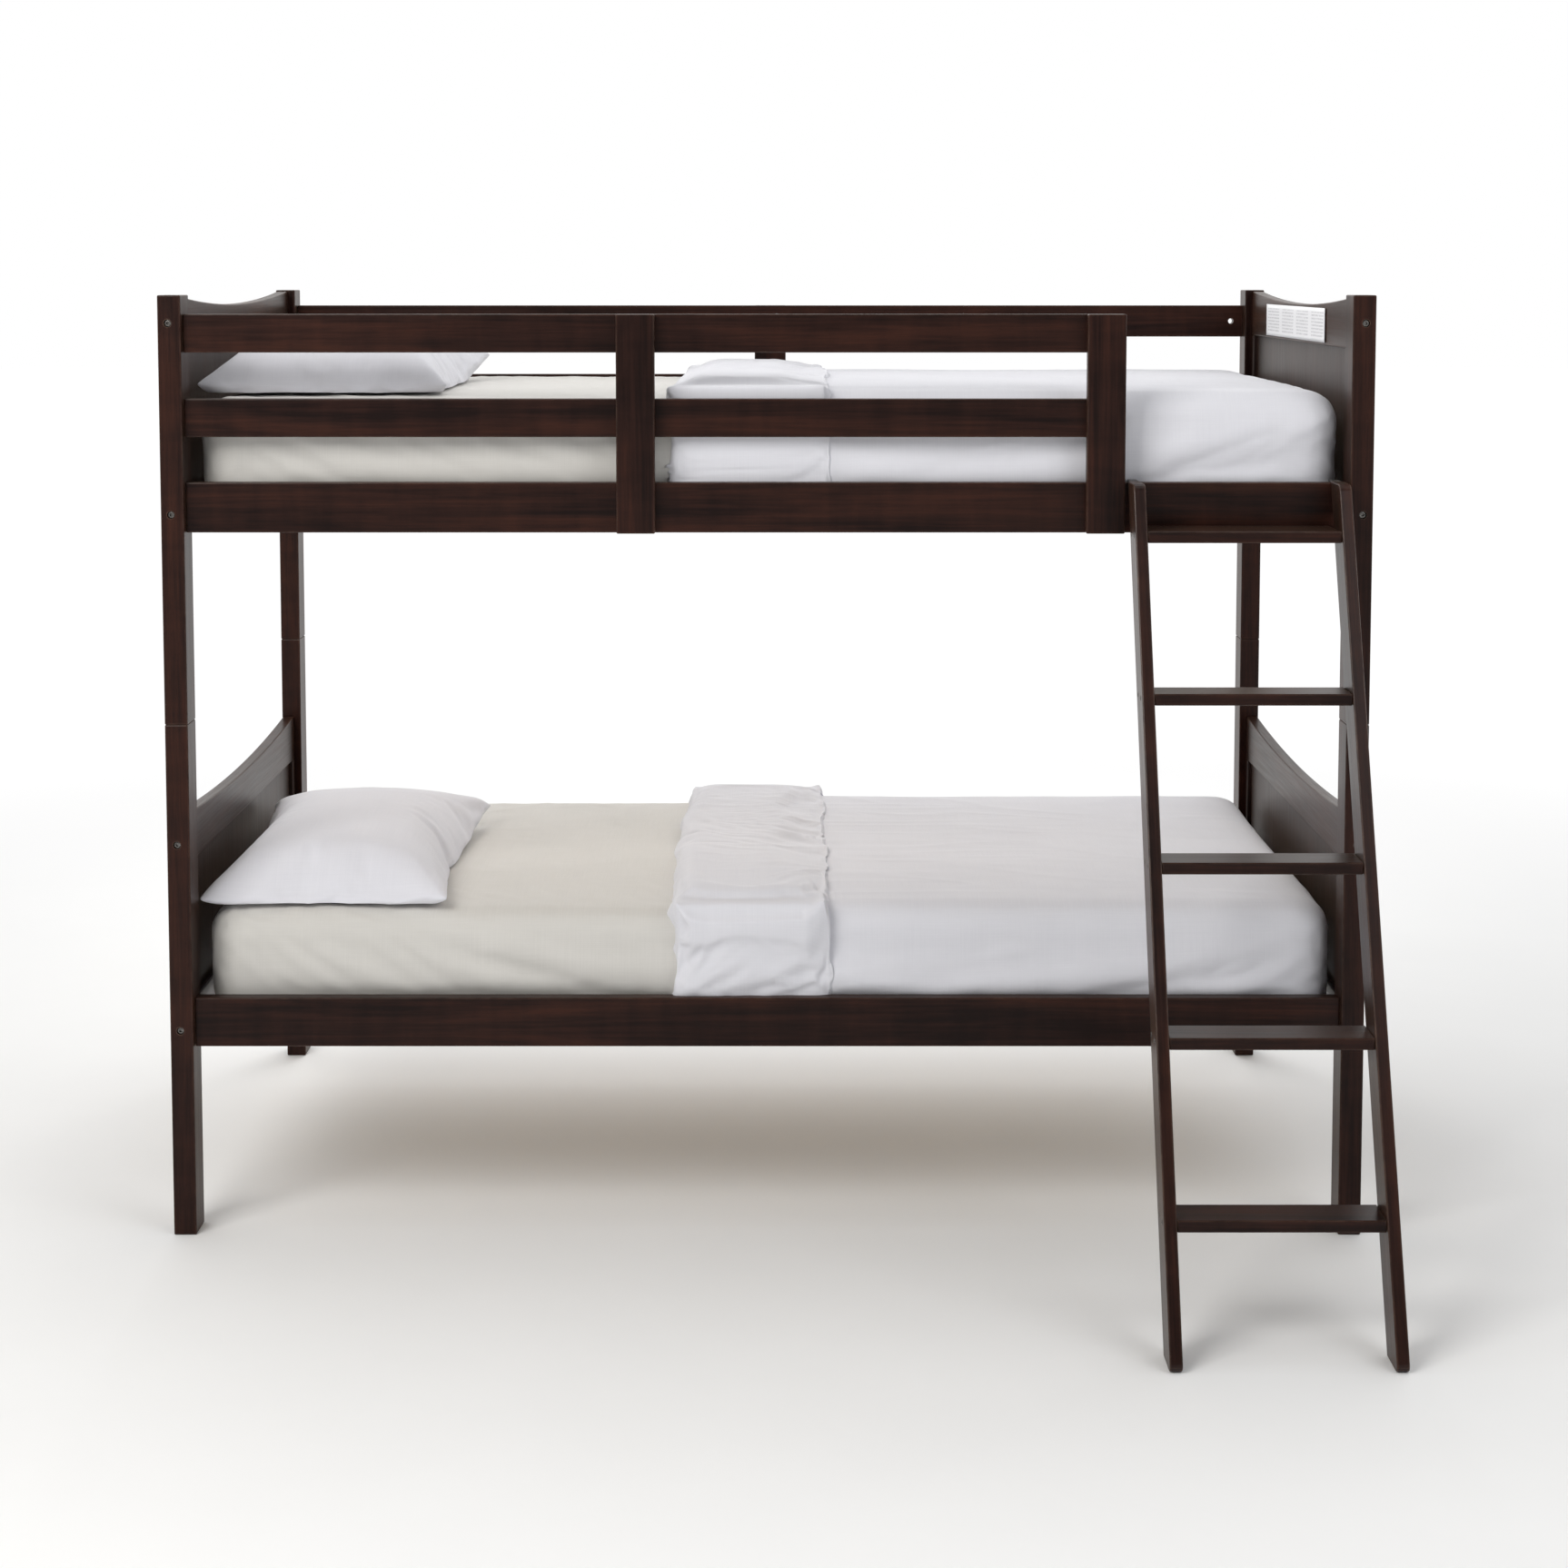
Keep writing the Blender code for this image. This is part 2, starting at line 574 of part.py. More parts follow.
def build():
    clear_scene()
    wood = finish("espresso_wood", (0.030, 0.012, 0.009), 0.32)
    panel_wood = finish("espresso_panel", (0.034, 0.015, 0.011), 0.38)
    pine = finish("pale_pine", (0.52, 0.36, 0.20), 0.6)
    steel = finish("dark_steel", (0.09, 0.085, 0.08), 0.35, 1.0)
    sheet = finish("ivory_sheet", (0.76, 0.75, 0.70), 0.85)
    quilt = finish("white_comforter", (0.80, 0.80, 0.84), 0.85)
    pillow = finish("white_pillow", (0.82, 0.82, 0.86), 0.85)

    centre_y = (LADDER_REACH - toe_trim() - BOARD_PROUD) / 2  # centres the whole footprint
    lower = body("lower_bunk_body", None, (0, centre_y, 0))
    upper = body("upper_bunk_body", lower, (0, 0, UPPER_BASE))
    ladder = body("ladder_body", upper, (0, FRONT, -UPPER_BASE))
    add_bunk("lower", LOWER_POST_HEIGHT, lower, wood, panel_wood, pine)
    add_bunk("upper", UPPER_POST_HEIGHT, upper, wood, panel_wood, pine)
    add_pins(lower, steel)
    add_guards(upper, wood)
    add_ladder(ladder, wood, steel)
    for bunk, owner in (("lower", lower), ("upper", upper)):
        bed = body(f"{bunk}_mattress_body", owner, (0, 0, 0))
        add_mattress(bunk, bed, sheet)
        add_comforter(bunk, bed, quilt)
        head = body(f"{bunk}_pillow_body", bed, (0, 0, MATTRESS_TOP + GAP))
        add_pillow(bunk, head, pillow)


build()
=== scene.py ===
import math

import bpy
import numpy as np
from mathutils import Matrix, Vector
from mathutils.bvhtree import BVHTree


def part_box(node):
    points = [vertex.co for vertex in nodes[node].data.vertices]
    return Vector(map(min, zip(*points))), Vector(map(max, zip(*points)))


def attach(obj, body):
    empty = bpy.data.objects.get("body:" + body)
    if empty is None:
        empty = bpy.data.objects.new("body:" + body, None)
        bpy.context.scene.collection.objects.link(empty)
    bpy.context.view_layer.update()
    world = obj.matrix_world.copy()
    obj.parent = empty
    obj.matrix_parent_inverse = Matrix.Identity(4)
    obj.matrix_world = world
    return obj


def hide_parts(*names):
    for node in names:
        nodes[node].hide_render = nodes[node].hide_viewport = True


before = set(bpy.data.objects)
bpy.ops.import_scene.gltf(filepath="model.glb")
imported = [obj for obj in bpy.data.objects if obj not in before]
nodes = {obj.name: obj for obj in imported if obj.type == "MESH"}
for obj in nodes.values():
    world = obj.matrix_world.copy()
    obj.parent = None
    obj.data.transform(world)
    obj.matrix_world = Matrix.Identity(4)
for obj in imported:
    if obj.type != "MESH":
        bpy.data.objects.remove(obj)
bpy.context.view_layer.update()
bunks = ("lower", "upper")
ends = {"left": -1, "right": 1}
sides = {"front": -1, "back": 1}


# Small helpers for working in object and edit mode

def deselectAll():
    if bpy.context.object and bpy.context.object.mode != "OBJECT":
        bpy.ops.object.mode_set(mode="OBJECT")
    bpy.ops.object.select_all(action="DESELECT")


def activate(piece):
    deselectAll()
    piece.select_set(True)
    bpy.context.view_layer.objects.active = piece


def applyPlace(piece):
    activate(piece)
    bpy.ops.object.transform_apply(location=True, rotation=True, scale=True)


def addModifier(piece, kind, **settings):
    made = piece.modifiers.new(kind.lower(), kind)
    for key, value in settings.items():
        setattr(made, key, value)
    return made


def applyModifier(piece, kind, **settings):
    made = addModifier(piece, kind, **settings)
    activate(piece)
    bpy.ops.object.modifier_apply(modifier=made.name)


def addBox(name, low, high):
    low, high = Vector(low), Vector(high)
    deselectAll()
    bpy.ops.mesh.primitive_cube_add(size=1, location=(low + high) / 2)
    piece = bpy.context.object
    piece.name = name
    piece.scale = high - low
    applyPlace(piece)
    return piece


def addGrid(name, columns, rows, width, height):
    # a flat grid round the origin, with a UV map in metres
    deselectAll()
    bpy.ops.mesh.primitive_grid_add(x_subdivisions=columns, y_subdivisions=rows, size=1)
    piece = bpy.context.object
    piece.name = name
    piece.scale = (width, height, 1)
    applyPlace(piece)
    for corner in piece.data.uv_layers[0].data:
        corner.uv = (corner.uv[0] * width, corner.uv[1] * height)
    return piece


def selectIn(piece, kind, wanted):
    # leaves edit mode on with only the faces, edges or vertices that wanted() says yes to
    activate(piece)
    bpy.ops.object.mode_set(mode="EDIT")
    bpy.ops.mesh.select_mode(type={"faces": "FACE", "edges": "EDGE", "verts": "VERT"}[kind])
    bpy.ops.mesh.select_all(action="DESELECT")
    bpy.ops.object.mode_set(mode="OBJECT")
    mesh = piece.data
    if kind == "faces":
        for face in mesh.polygons:
            face.select = bool(wanted(face.center, face.normal))
    elif kind == "edges":
        for edge in mesh.edges:
            a, b = (mesh.vertices[i].co for i in edge.vertices)
            edge.select = bool(wanted(a, b))
    else:
        for vert in mesh.vertices:
            vert.select = bool(wanted(vert.co))
    bpy.ops.object.mode_set(mode="EDIT")


def leaveEdit():
    bpy.ops.object.mode_set(mode="OBJECT")


def copyOf(piece, name, place=None):
    made = bpy.data.objects.new(name, piece.data.copy())
    bpy.context.scene.collection.objects.link(made)
    if place is not None:
        made.data.transform(place)
        if place.determinant() < 0:
            made.data.flip_normals()
    return made


def joinAll(name, parts):
    deselectAll()
    for part in parts:
        part.select_set(True)
    bpy.context.view_layer.objects.active = parts[0]
    if len(parts) > 1:
        bpy.ops.object.join()
    made = bpy.context.object
    made.name = name
    made.data.name = name
    return made


def removePiece(piece):
    bpy.data.objects.remove(piece, do_unlink=True)


def shadeByAngle(piece, degrees=35):
    activate(piece)
    bpy.ops.object.shade_smooth_by_angle(angle=math.radians(degrees))


def paint(piece, finish):
    piece.data.materials.clear()
    piece.data.materials.append(finish)


def settle(piece, body, finish=None):
    # the last step of every new piece: its finish and the body that it rides on
    if finish:
        paint(piece, finish)
    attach(piece, body)
    return piece


def points(piece):
    flat = np.empty(len(piece.data.vertices) * 3, np.float32)
    piece.data.vertices.foreach_get("co", flat)
    return flat.reshape(-1, 3).astype(float)


def boxOf(piece):
    place = points(piece)
    return Vector(place.min(0)), Vector(place.max(0))


def setPoints(piece, placed):
    piece.data.vertices.foreach_set("co", placed.astype(np.float32).ravel())
    piece.data.update()


# Shader building blocks

def fillInputs(tree, made, inputs):
    # links the values that are sockets and sets the others
    for socket, value in inputs.items():
        if isinstance(value, bpy.types.NodeSocket):
            tree.links.new(value, made.inputs[socket])
        else:
            made.inputs[socket].default_value = value


def addNode(tree, kind, inputs=None, **settings):
    made = tree.nodes.new("ShaderNode" + kind)
    for key, value in settings.items():
        setattr(made, key, value)
    fillInputs(tree, made, inputs or {})
    return made


def newGroup(name, inputs, outputs):
    group = bpy.data.node_groups.new(name, "ShaderNodeTree")
    for label, kind, start in inputs:
        socket = group.interface.new_socket(name=label, in_out="INPUT", socket_type="NodeSocket" + kind)
        if start is not None:
            socket.default_value = start
    for label, kind in outputs:
        group.interface.new_socket(name=label, in_out="OUTPUT", socket_type="NodeSocket" + kind)
    return group, group.nodes.new("NodeGroupInput").outputs, group.nodes.new("NodeGroupOutput").inputs


def noiseAt(tree, vector, stretch, scale, detail=4.0, roughness=0.55, distortion=0.0):
    # noise whose cells are stretched along the first axis when stretch is under 1 there
    placed = addNode(tree, "Mapping", {"Vector": vector, "Scale": stretch})
    made = addNode(tree, "TexNoise", {"Vector": placed.outputs[0], "Scale": scale, "Detail": detail,
                                      "Roughness": roughness, "Distortion": distortion})
    return made.outputs["Fac"]


def rangeOf(tree, value, low, high, toLow=0.0, toHigh=1.0):
    made = addNode(tree, "MapRange", {"Value": value, "From Min": low, "From Max": high,
                                      "To Min": toLow, "To Max": toHigh})
    return made.outputs["Result"]


def mathOf(tree, operation, *values):
    return addNode(tree, "Math", dict(enumerate(values)), operation=operation).outputs[0]


def mixColors(tree, amount, first, second, blend="MIX"):
    made = addNode(tree, "Mix", {0: amount, 6: first, 7: second}, data_type="RGBA", blend_type=blend)
    return made.outputs[2]


def makeWoodGrain():
    # growth bands, fibres, cross figure and pores of a stained wood whose grain runs along the vector's X
    group, given, out = newGroup("woodGrain", [
        ("Vector", "Vector", None), ("Deep", "Color", None), ("Body", "Color", None),
        ("Glow", "Color", None), ("Fibre", "Float", 1.15), ("Figure", "Float", 0.55),
    ], [("Color", "Color"), ("Gloss", "Float"), ("Height", "Float")])
    vector = given["Vector"]
    bands = noiseAt(group, vector, (0.9, 13, 13), 1.6, 5, 0.6, 0.8)
    fibres = noiseAt(group, vector, (4, 150, 150), 1.5, 6, 0.65)
    figure = noiseAt(group, vector, (16, 3.5, 3.5), 1.4, 3, 0.5, 0.4)
    pores = noiseAt(group, vector, (55, 900, 900), 1.0, 2, 0.5)
    fibreShare = mathOf(group, "MULTIPLY", rangeOf(group, fibres, 0.3, 0.7, -0.25, 0.25), given["Fibre"])
    figureShare = mathOf(group, "MULTIPLY", rangeOf(group, figure, 0.3, 0.7, -0.3, 0.3), given["Figure"])
    tone = mathOf(group, "ADD", rangeOf(group, bands, 0.32, 0.68), mathOf(group, "ADD", fibreShare, figureShare))
    color = mixColors(group, rangeOf(group, tone, 0.0, 0.5), given["Deep"], given["Body"])
    color = mixColors(group, rangeOf(group, tone, 0.5, 1.15), color, given["Glow"])
    poreMask = rangeOf(group, pores, 0.62, 0.74)
    color = mixColors(group, mathOf(group, "MULTIPLY", poreMask, 0.55), color, given["Deep"])
    group.links.new(color, out["Color"])
    group.links.new(rangeOf(group, fibres, 0.3, 0.7, -0.05, 0.05), out["Gloss"])
    fine = mathOf(group, "MULTIPLY", fibres, 0.35)
    group.links.new(mathOf(group, "SUBTRACT", fine, mathOf(group, "MULTIPLY", poreMask, 0.5)), out["Height"])
    return group


def makeEdgeWearAndHighlight():
    # a mask of the edges, broken up by noise: partly real wear where a finish is thin or rubbed, partly a painted
    # highlight on the rounded edges
    group, given, out = newGroup("edgeWearAndHighlight", [
        ("Vector", "Vector", None), ("Reach", "Float", 0.003), ("Amount", "Float", 0.5),
    ], [("Mask", "Float")])
    rounded = addNode(group, "Bevel", {"Radius": given["Reach"]}, samples=4)
    plain = addNode(group, "NewGeometry").outputs["Normal"]
    turned = addNode(group, "VectorMath", {0: rounded.outputs[0], 1: plain}, operation="DOT_PRODUCT").outputs["Value"]
    edge = rangeOf(group, turned, 0.995, 0.85)
    broken = rangeOf(group, noiseAt(group, given["Vector"], (1, 1, 1), 45, 4), 0.35, 0.65, 0.25, 1.0)
    mask = mathOf(group, "MULTIPLY", mathOf(group, "MULTIPLY", edge, broken), given["Amount"])
    group.links.new(mask, out["Mask"])
    return group


def makeWeave():
    # a plain weave on coordinates in metres: the crossing threads, their slubs and a soft shade between them
    group, given, out = newGroup("plainWeave", [
        ("Vector", "Vector", None), ("Pitch", "Float", 0.0006), ("Color", "Color", None),
        ("Shade", "Color", None), ("Slub", "Float", 0.5),
    ], [("Color", "Color"), ("Height", "Float")])
    vector = given["Vector"]
    perMetre = mathOf(group, "DIVIDE", 6.2832, given["Pitch"])
    split = addNode(group, "SeparateXYZ", {0: vector})
    waves = []
    for axis in (0, 1):
        phase = mathOf(group, "MULTIPLY", split.outputs[axis], perMetre)
        waves.append(mathOf(group, "SINE", phase))
    threads = rangeOf(group, mathOf(group, "MULTIPLY", waves[0], waves[1]), -1, 1)
    warp = noiseAt(group, vector, (9, 700, 1), 1.0, 3)
    weft = noiseAt(group, vector, (700, 9, 1), 1.0, 3)
    slubs = mathOf(group, "ADD", warp, weft)
    cloud = noiseAt(group, vector, (1, 1, 1), 5.0, 3)
    shade = mathOf(group, "MULTIPLY", rangeOf(group, slubs, 0.75, 1.25), given["Slub"])
    shade = mathOf(group, "ADD", shade, rangeOf(group, cloud, 0.3, 0.7, -0.15, 0.25))
    clean = addNode(group, "Clamp", {"Value": shade}).outputs[0]
    group.links.new(mixColors(group, clean, given["Color"], given["Shade"]), out["Color"])
    height = mathOf(group, "ADD", mathOf(group, "MULTIPLY", threads, 0.6), mathOf(group, "MULTIPLY", slubs, 0.7))
    group.links.new(height, out["Height"])
    return group


def makeBrushedMetal():
    group, given, out = newGroup("brushedMetal", [
        ("Vector", "Vector", None), ("Color", "Color", None), ("Dark", "Color", None),
    ], [("Color", "Color"), ("Rough", "Float"), ("Height", "Float")])
    lines = noiseAt(group, given["Vector"], (30, 900, 900), 1.0, 3)
    spots = noiseAt(group, given["Vector"], (1, 1, 1), 260, 4)
    shade = mathOf(group, "ADD", rangeOf(group, lines, 0.3, 0.7, 0, 0.6), rangeOf(group, spots, 0.5, 0.75, 0, 0.5))
    group.links.new(mixColors(group, shade, given["Color"], given["Dark"]), out["Color"])
    group.links.new(rangeOf(group, spots, 0.3, 0.7, 0.24, 0.48), out["Rough"])
    group.links.new(lines, out["Height"])
    return group


woodGrain = makeWoodGrain()
edgeWearAndHighlight = makeEdgeWearAndHighlight()
plainWeave = makeWeave()
brushedMetal = makeBrushedMetal()


def groupIn(tree, group, inputs):
    made = addNode(tree, "Group", node_tree=group)
    fillInputs(tree, made, inputs)
    return made.outputs


def newFinish(name, flat, **shine):
    made = bpy.data.materials.new(name)
    made.use_nodes = True
    made.diffuse_color = flat
    shader = made.node_tree.nodes["Principled BSDF"]
    for socket, value in shine.items():
        shader.inputs[socket.replace("_", " ")].default_value = value
    return made, made.node_tree, shader.inputs


def bumpInto(tree, shader, height, strength, distance):
    bump = addNode(tree, "Bump", {"Height": height, "Strength": strength, "Distance": distance})
    tree.links.new(bump.outputs[0], shader["Normal"])


# worn is the colour of the eased edges: partly real wear, partly a painted highlight
espresso = dict(
    deep=(0.0085, 0.0030, 0.0022, 1), body=(0.0210, 0.0074, 0.0050, 1), glow=(0.0410, 0.0135, 0.0080, 1),
    wornAndLit=(0.190, 0.120, 0.088, 1), rough=0.33, bump=0.16, haze=0.05,
)
panelWood = dict(
    deep=(0.0110, 0.0048, 0.0036, 1), body=(0.0200, 0.0090, 0.0066, 1), glow=(0.0300, 0.0135, 0.0096, 1),
    wornAndLit=(0.14, 0.09, 0.065, 1), rough=0.40, bump=0.2, haze=0.06,
)
pine = dict(
    deep=(0.50, 0.34, 0.19, 1), body=(0.64, 0.47, 0.29, 1), glow=(0.74, 0.59, 0.40, 1),
    wornAndLit=(0.74, 0.60, 0.42, 1), rough=0.58, bump=0.3, haze=0.0,
)
grainTurns = {  # turns that bring each direction of grain onto the pattern's X
    "AlongX": (0, 0, 0),
    "AlongY": (0, 0, math.pi / 2),
    "AlongZ": (0, math.pi / 2, 0),
}


def makeWood(name, look, turn, wearAndHighlight=0.6, specular=0.14):
    made, tree, shader = newFinish(name, look["body"], Specular_IOR_Level=specular, Sheen_Weight=look["haze"],
                                   Sheen_Roughness=0.35, Sheen_Tint=(1, 0.72, 0.5, 1))
    place = addNode(tree, "TexCoord").outputs["Object"]
    turned = addNode(tree, "Mapping", {"Vector": place, "Rotation": turn}).outputs[0]
    grain = groupIn(tree, woodGrain, {"Vector": turned, "Deep": look["deep"], "Body": look["body"],
                                      "Glow": look["glow"]})
    # the edge mask lightens each eased edge towards the worn colour, which is partly real wear and partly a painted
    # highlight
    edges = groupIn(tree, edgeWearAndHighlight, {"Vector": place, "Reach": 0.003, "Amount": wearAndHighlight})["Mask"]
    tree.links.new(mixColors(tree, edges, grain["Color"], look["wornAndLit"]), shader["Base Color"])
    rough = mathOf(tree, "ADD", grain["Gloss"], look["rough"])
    tree.links.new(rough, shader["Roughness"])
    bumpInto(tree, shader, grain["Height"], look["bump"], 0.0006)
    return made


firstTread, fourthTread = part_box("ladder_tread_1")[0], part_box("ladder_tread_4")[0]
ladderLean = math.atan2(fourthTread.y - firstTread.y, fourthTread.z - firstTread.z)


def makeWoods():
    made = {}
    for way, turn in grainTurns.items():
        made["espresso" + way] = makeWood("espresso" + way, espresso, turn)
        made["pine" + way] = makeWood("pine" + way, pine, turn, 0.4, 0.4)
    # the ladder's stiles get the whole edge mask, so their edges carry the most painted highlight as well as wear
    made["espressoOnLadder"] = makeWood("espressoOnLadder", espresso, (ladderLean, math.pi / 2, 0), 1.0, 0.24)
    made["panelUpright"] = makeWood("panelUpright", panelWood, grainTurns["AlongZ"], 0.35, 0.24)
    return made


def makeSteel(name, color, dark):
    made, tree, shader = newFinish(name, color, Metallic=1.0)
    place = addNode(tree, "TexCoord").outputs["Object"]
    brushed = groupIn(tree, brushedMetal, {"Vector": place, "Color": color, "Dark": dark})
    tree.links.new(brushed["Color"], shader["Base Color"])
    tree.links.new(brushed["Rough"], shader["Roughness"])
    bumpInto(tree, shader, brushed["Height"], 0.12, 0.0002)
    return made


def makeCloth(name, color, shade, pitch=0.0006, slub=0.5, bump=0.22, sheen=0.25, useUv=True):
    made, tree, shader = newFinish(name, color, Roughness=0.9, Sheen_Weight=sheen, Sheen_Roughness=0.45,
                                   Specular_IOR_Level=0.25)
    place = addNode(tree, "TexCoord").outputs["UV" if useUv else "Object"]
    woven = groupIn(tree, plainWeave, {"Vector": place, "Pitch": pitch, "Color": color, "Shade": shade, "Slub": slub})
    tree.links.new(woven["Color"], shader["Base Color"])
    bumpInto(tree, shader, woven["Height"], bump, 0.0004)
    return made


woods = makeWoods()
steel = makeSteel("darkSteel", (0.20, 0.19, 0.18, 1), (0.07, 0.065, 0.06, 1))
boltSteel = makeSteel("boltSteel", (0.21, 0.20, 0.19, 1), (0.07, 0.065, 0.06, 1))
sheetCloth = makeCloth("ivoryCotton", (0.675, 0.657, 0.622, 1), (0.60, 0.585, 0.55, 1))
comforterCloth = makeCloth("whiteCotton", (0.745, 0.745, 0.785, 1), (0.68, 0.68, 0.725, 1))
pillowCloth = makeCloth("pillowCotton", (0.765, 0.765, 0.81, 1), (0.70, 0.70, 0.75, 1))
tickingCloth = makeCloth("tickingCotton", (0.70, 0.69, 0.67, 1), (0.60, 0.60, 0.59, 1), 0.0009, 0.7, 0.35)
webbing = makeCloth("creamWebbing", (0.62, 0.58, 0.50, 1), (0.50, 0.46, 0.38, 1), 0.0014, 0.8, 0.5, 0.1)


paper = dict(color=(0.85, 0.85, 0.86, 1), ink=(0.38, 0.38, 0.40, 1), inkShare=0.5, columns=7.2, lines=165,
             words=(240, 165, 1), bottom=0.006, top=0.054)


def makePaper():
    # white card with four columns of short grey bars that stand for print, on coordinates in metres
    made, tree, shader = newFinish("printedCard", paper["color"], Roughness=0.55, Coat_Weight=0.15)
    place = addNode(tree, "TexCoord").outputs["UV"]
    acrossCard, upCard = addNode(tree, "SeparateXYZ", {0: place}).outputs[:2]
    column = mathOf(tree, "FRACT", mathOf(tree, "MULTIPLY", acrossCard, paper["columns"]))
    line = mathOf(tree, "FRACT", mathOf(tree, "MULTIPLY", upCard, paper["lines"]))
    inColumn = mathOf(tree, "MULTIPLY", rangeOf(tree, column, 0.10, 0.12), rangeOf(tree, column, 0.92, 0.90))
    inLine = mathOf(tree, "GREATER_THAN", line, 0.5)
    words = mathOf(tree, "GREATER_THAN", noiseAt(tree, place, paper["words"], 1.0, 1), 0.42)
    aboveBottom = rangeOf(tree, upCard, paper["bottom"], paper["bottom"] + 0.001)
    inMargin = mathOf(tree, "MULTIPLY", aboveBottom, rangeOf(tree, upCard, paper["top"], paper["top"] - 0.001))
    marks = mathOf(tree, "MULTIPLY", inColumn, inLine)
    marks = mathOf(tree, "MULTIPLY", marks, mathOf(tree, "MULTIPLY", words, inMargin))
    ink = mathOf(tree, "MULTIPLY", marks, paper["inkShare"])
    tree.links.new(mixColors(tree, ink, paper["color"], paper["ink"]), shader["Base Color"])
    bumpInto(tree, shader, noiseAt(tree, place, (1, 1, 1), 900, 2), 0.05, 0.0002)
    return made


cardPaper = makePaper()
print("finishes ready")


def paintFrame():
    for name, node in nodes.items():
        if name.startswith("ladder_stile"):
            finish = woods["espressoOnLadder"]
        elif "hook" in name or "pin_" in name:
            finish = steel
        elif "end_panel" in name:
            finish = woods["panelUpright"]
        elif "_post_" in name or "_board" in name:
            finish = woods["espressoAlongZ"]
        elif "end_top_rail" in name or "end_bottom_rail" in name:
            finish = woods["espressoAlongY"]
        else:
            finish = woods["espressoAlongX"]
        paint(node, finish)


paintFrame()
print("frame painted")


# Fasteners, slats and the card

bolt = dict(radius=0.0058, height=0.006, rim=0.0008, socket=0.0032, socketDepth=0.004, sunk=0.0030)
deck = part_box("lower_side_rail_front")[0].z  # the underside of the side rails above the foot of a post
bolts = dict(  # lifts above the underside of the side rails, insets from the post's outer faces
    endLifts=(0.031, 0.350), sideLift=0.062, guardLifts=(0.192, 0.333), inset=0.017, railInset=0.025,
)


def makeBolt():
    # a socket-head bolt that points up, its head's top at the origin
    deselectAll()
    bpy.ops.mesh.primitive_cylinder_add(vertices=28, radius=bolt["radius"], depth=bolt["height"],
                                        location=(0, 0, -bolt["height"] / 2))
    head = bpy.context.object
    applyPlace(head)
    selectIn(head, "edges", lambda a, b: a.z > -1e-5 and b.z > -1e-5)
    bpy.ops.mesh.bevel(offset=bolt["rim"], segments=2, affect="EDGES")
    leaveEdit()
    bpy.ops.mesh.primitive_cylinder_add(vertices=6, radius=bolt["socket"], depth=2 * bolt["socketDepth"])
    socket = bpy.context.object
    applyModifier(head, "BOOLEAN", operation="DIFFERENCE", object=socket, solver="EXACT")
    removePiece(socket)
    shadeByAngle(head)
    return head


def pointing(place, way):
    # the turn and place that bring something modelled upright at the origin to a face that looks that way
    return Matrix.Translation(place) @ Vector((0, 0, 1)).rotation_difference(Vector(way)).to_matrix().to_4x4()


def boltPlaces(bunk):
    for sideName, side in sides.items():
        for endName, end in ends.items():
            low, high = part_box(f"{bunk}_post_{sideName}_{endName}")
            outX, outY = (high.x if end > 0 else low.x), (high.y if side > 0 else low.y)
            floor = low.z + deck
            for lift in bolts["endLifts"]:
                place = Vector((outX - end * bolts["inset"], outY - side * bolt["sunk"], floor + lift))
                yield pointing(place, (0, side, 0))
            lifts = [bolts["sideLift"]]
            if bunk == "upper" and (side > 0 or end < 0):
                lifts += bolts["guardLifts"]
            for lift in lifts:
                place = Vector((outX - end * bolt["sunk"], outY - side * bolts["railInset"], floor + lift))
                yield pointing(place, (end, 0, 0))


def makeBolts():
    master = makeBolt()
    for bunk in bunks:
        parts = [copyOf(master, "bolt", place) for place in boltPlaces(bunk)]
        made = joinAll(f"{bunk}_bunk_bolts", parts)
        settle(made, f"{bunk}_bunk", boltSteel)
    removePiece(master)


screw = dict(radius=0.0042, dome=0.0007, recess=0.0016, arm=0.0045, slot=0.0010)
screws = dict(treadWidth=0.070, treadShares=(0.27, 0.73), boardStep=(0.014, 0.012), plate=0.003, rises=(0.012, 0.034))


def makeScrew():
    # a countersunk screw's head, nearly flush, with a cross recess
    deselectAll()
    bpy.ops.mesh.primitive_cylinder_add(vertices=24, radius=screw["radius"], depth=screw["dome"] * 2)
    head = bpy.context.object
    selectIn(head, "edges", lambda a, b: a.z > 1e-5 and b.z > 1e-5)
    bpy.ops.mesh.bevel(offset=screw["dome"], segments=3, affect="EDGES")
    leaveEdit()
    for turn in (0, math.pi / 2):
        cutter = addBox("cutter", (-screw["arm"] / 2, -screw["slot"] / 2, screw["dome"] - screw["recess"] / 2),
                        (screw["arm"] / 2, screw["slot"] / 2, screw["dome"] + 0.001))
        cutter.data.transform(Matrix.Rotation(turn, 4, "Z"))
        applyModifier(head, "BOOLEAN", operation="DIFFERENCE", object=cutter, solver="EXACT")
        removePiece(cutter)
    shadeByAngle(head)
    return head


def stileScrewPlaces():
    # two screws through each stile into each tread's end
    for sideName, end in ends.items():
        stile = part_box(f"ladder_stile_{sideName}")
        x = stile[1].x if end > 0 else stile[0].x
        for number in range(1, 6):
            low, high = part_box(f"ladder_tread_{number}")
            for share in screws["treadShares"]:
                y = low.y + share * screws["treadWidth"]
                yield pointing(Vector((x, y, (low.z + high.z) / 2)), (end, 0, 0))


def guardScrewPlaces():
    # screws from the inside of the rails into the upright boards
    stepX, stepZ = screws["boardStep"]
    for sideName, board in (("front", "end"), ("front", "middle"), ("back", "centre")):
        side = sides[sideName]
        low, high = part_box(f"{sideName}_guard_{board}_board")
        middle = (low.x + high.x) / 2
        for rail in (f"{sideName}_guard_rail_middle", f"{sideName}_guard_rail_top", f"upper_side_rail_{sideName}"):
            railLow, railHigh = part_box(rail)
            y = railHigh.y if side < 0 else railLow.y
            for step in (-1, 1):
                place = Vector((middle + step * stepX, y, (railLow.z + railHigh.z) / 2 + step * stepZ))
                yield pointing(place, (0, -side, 0))


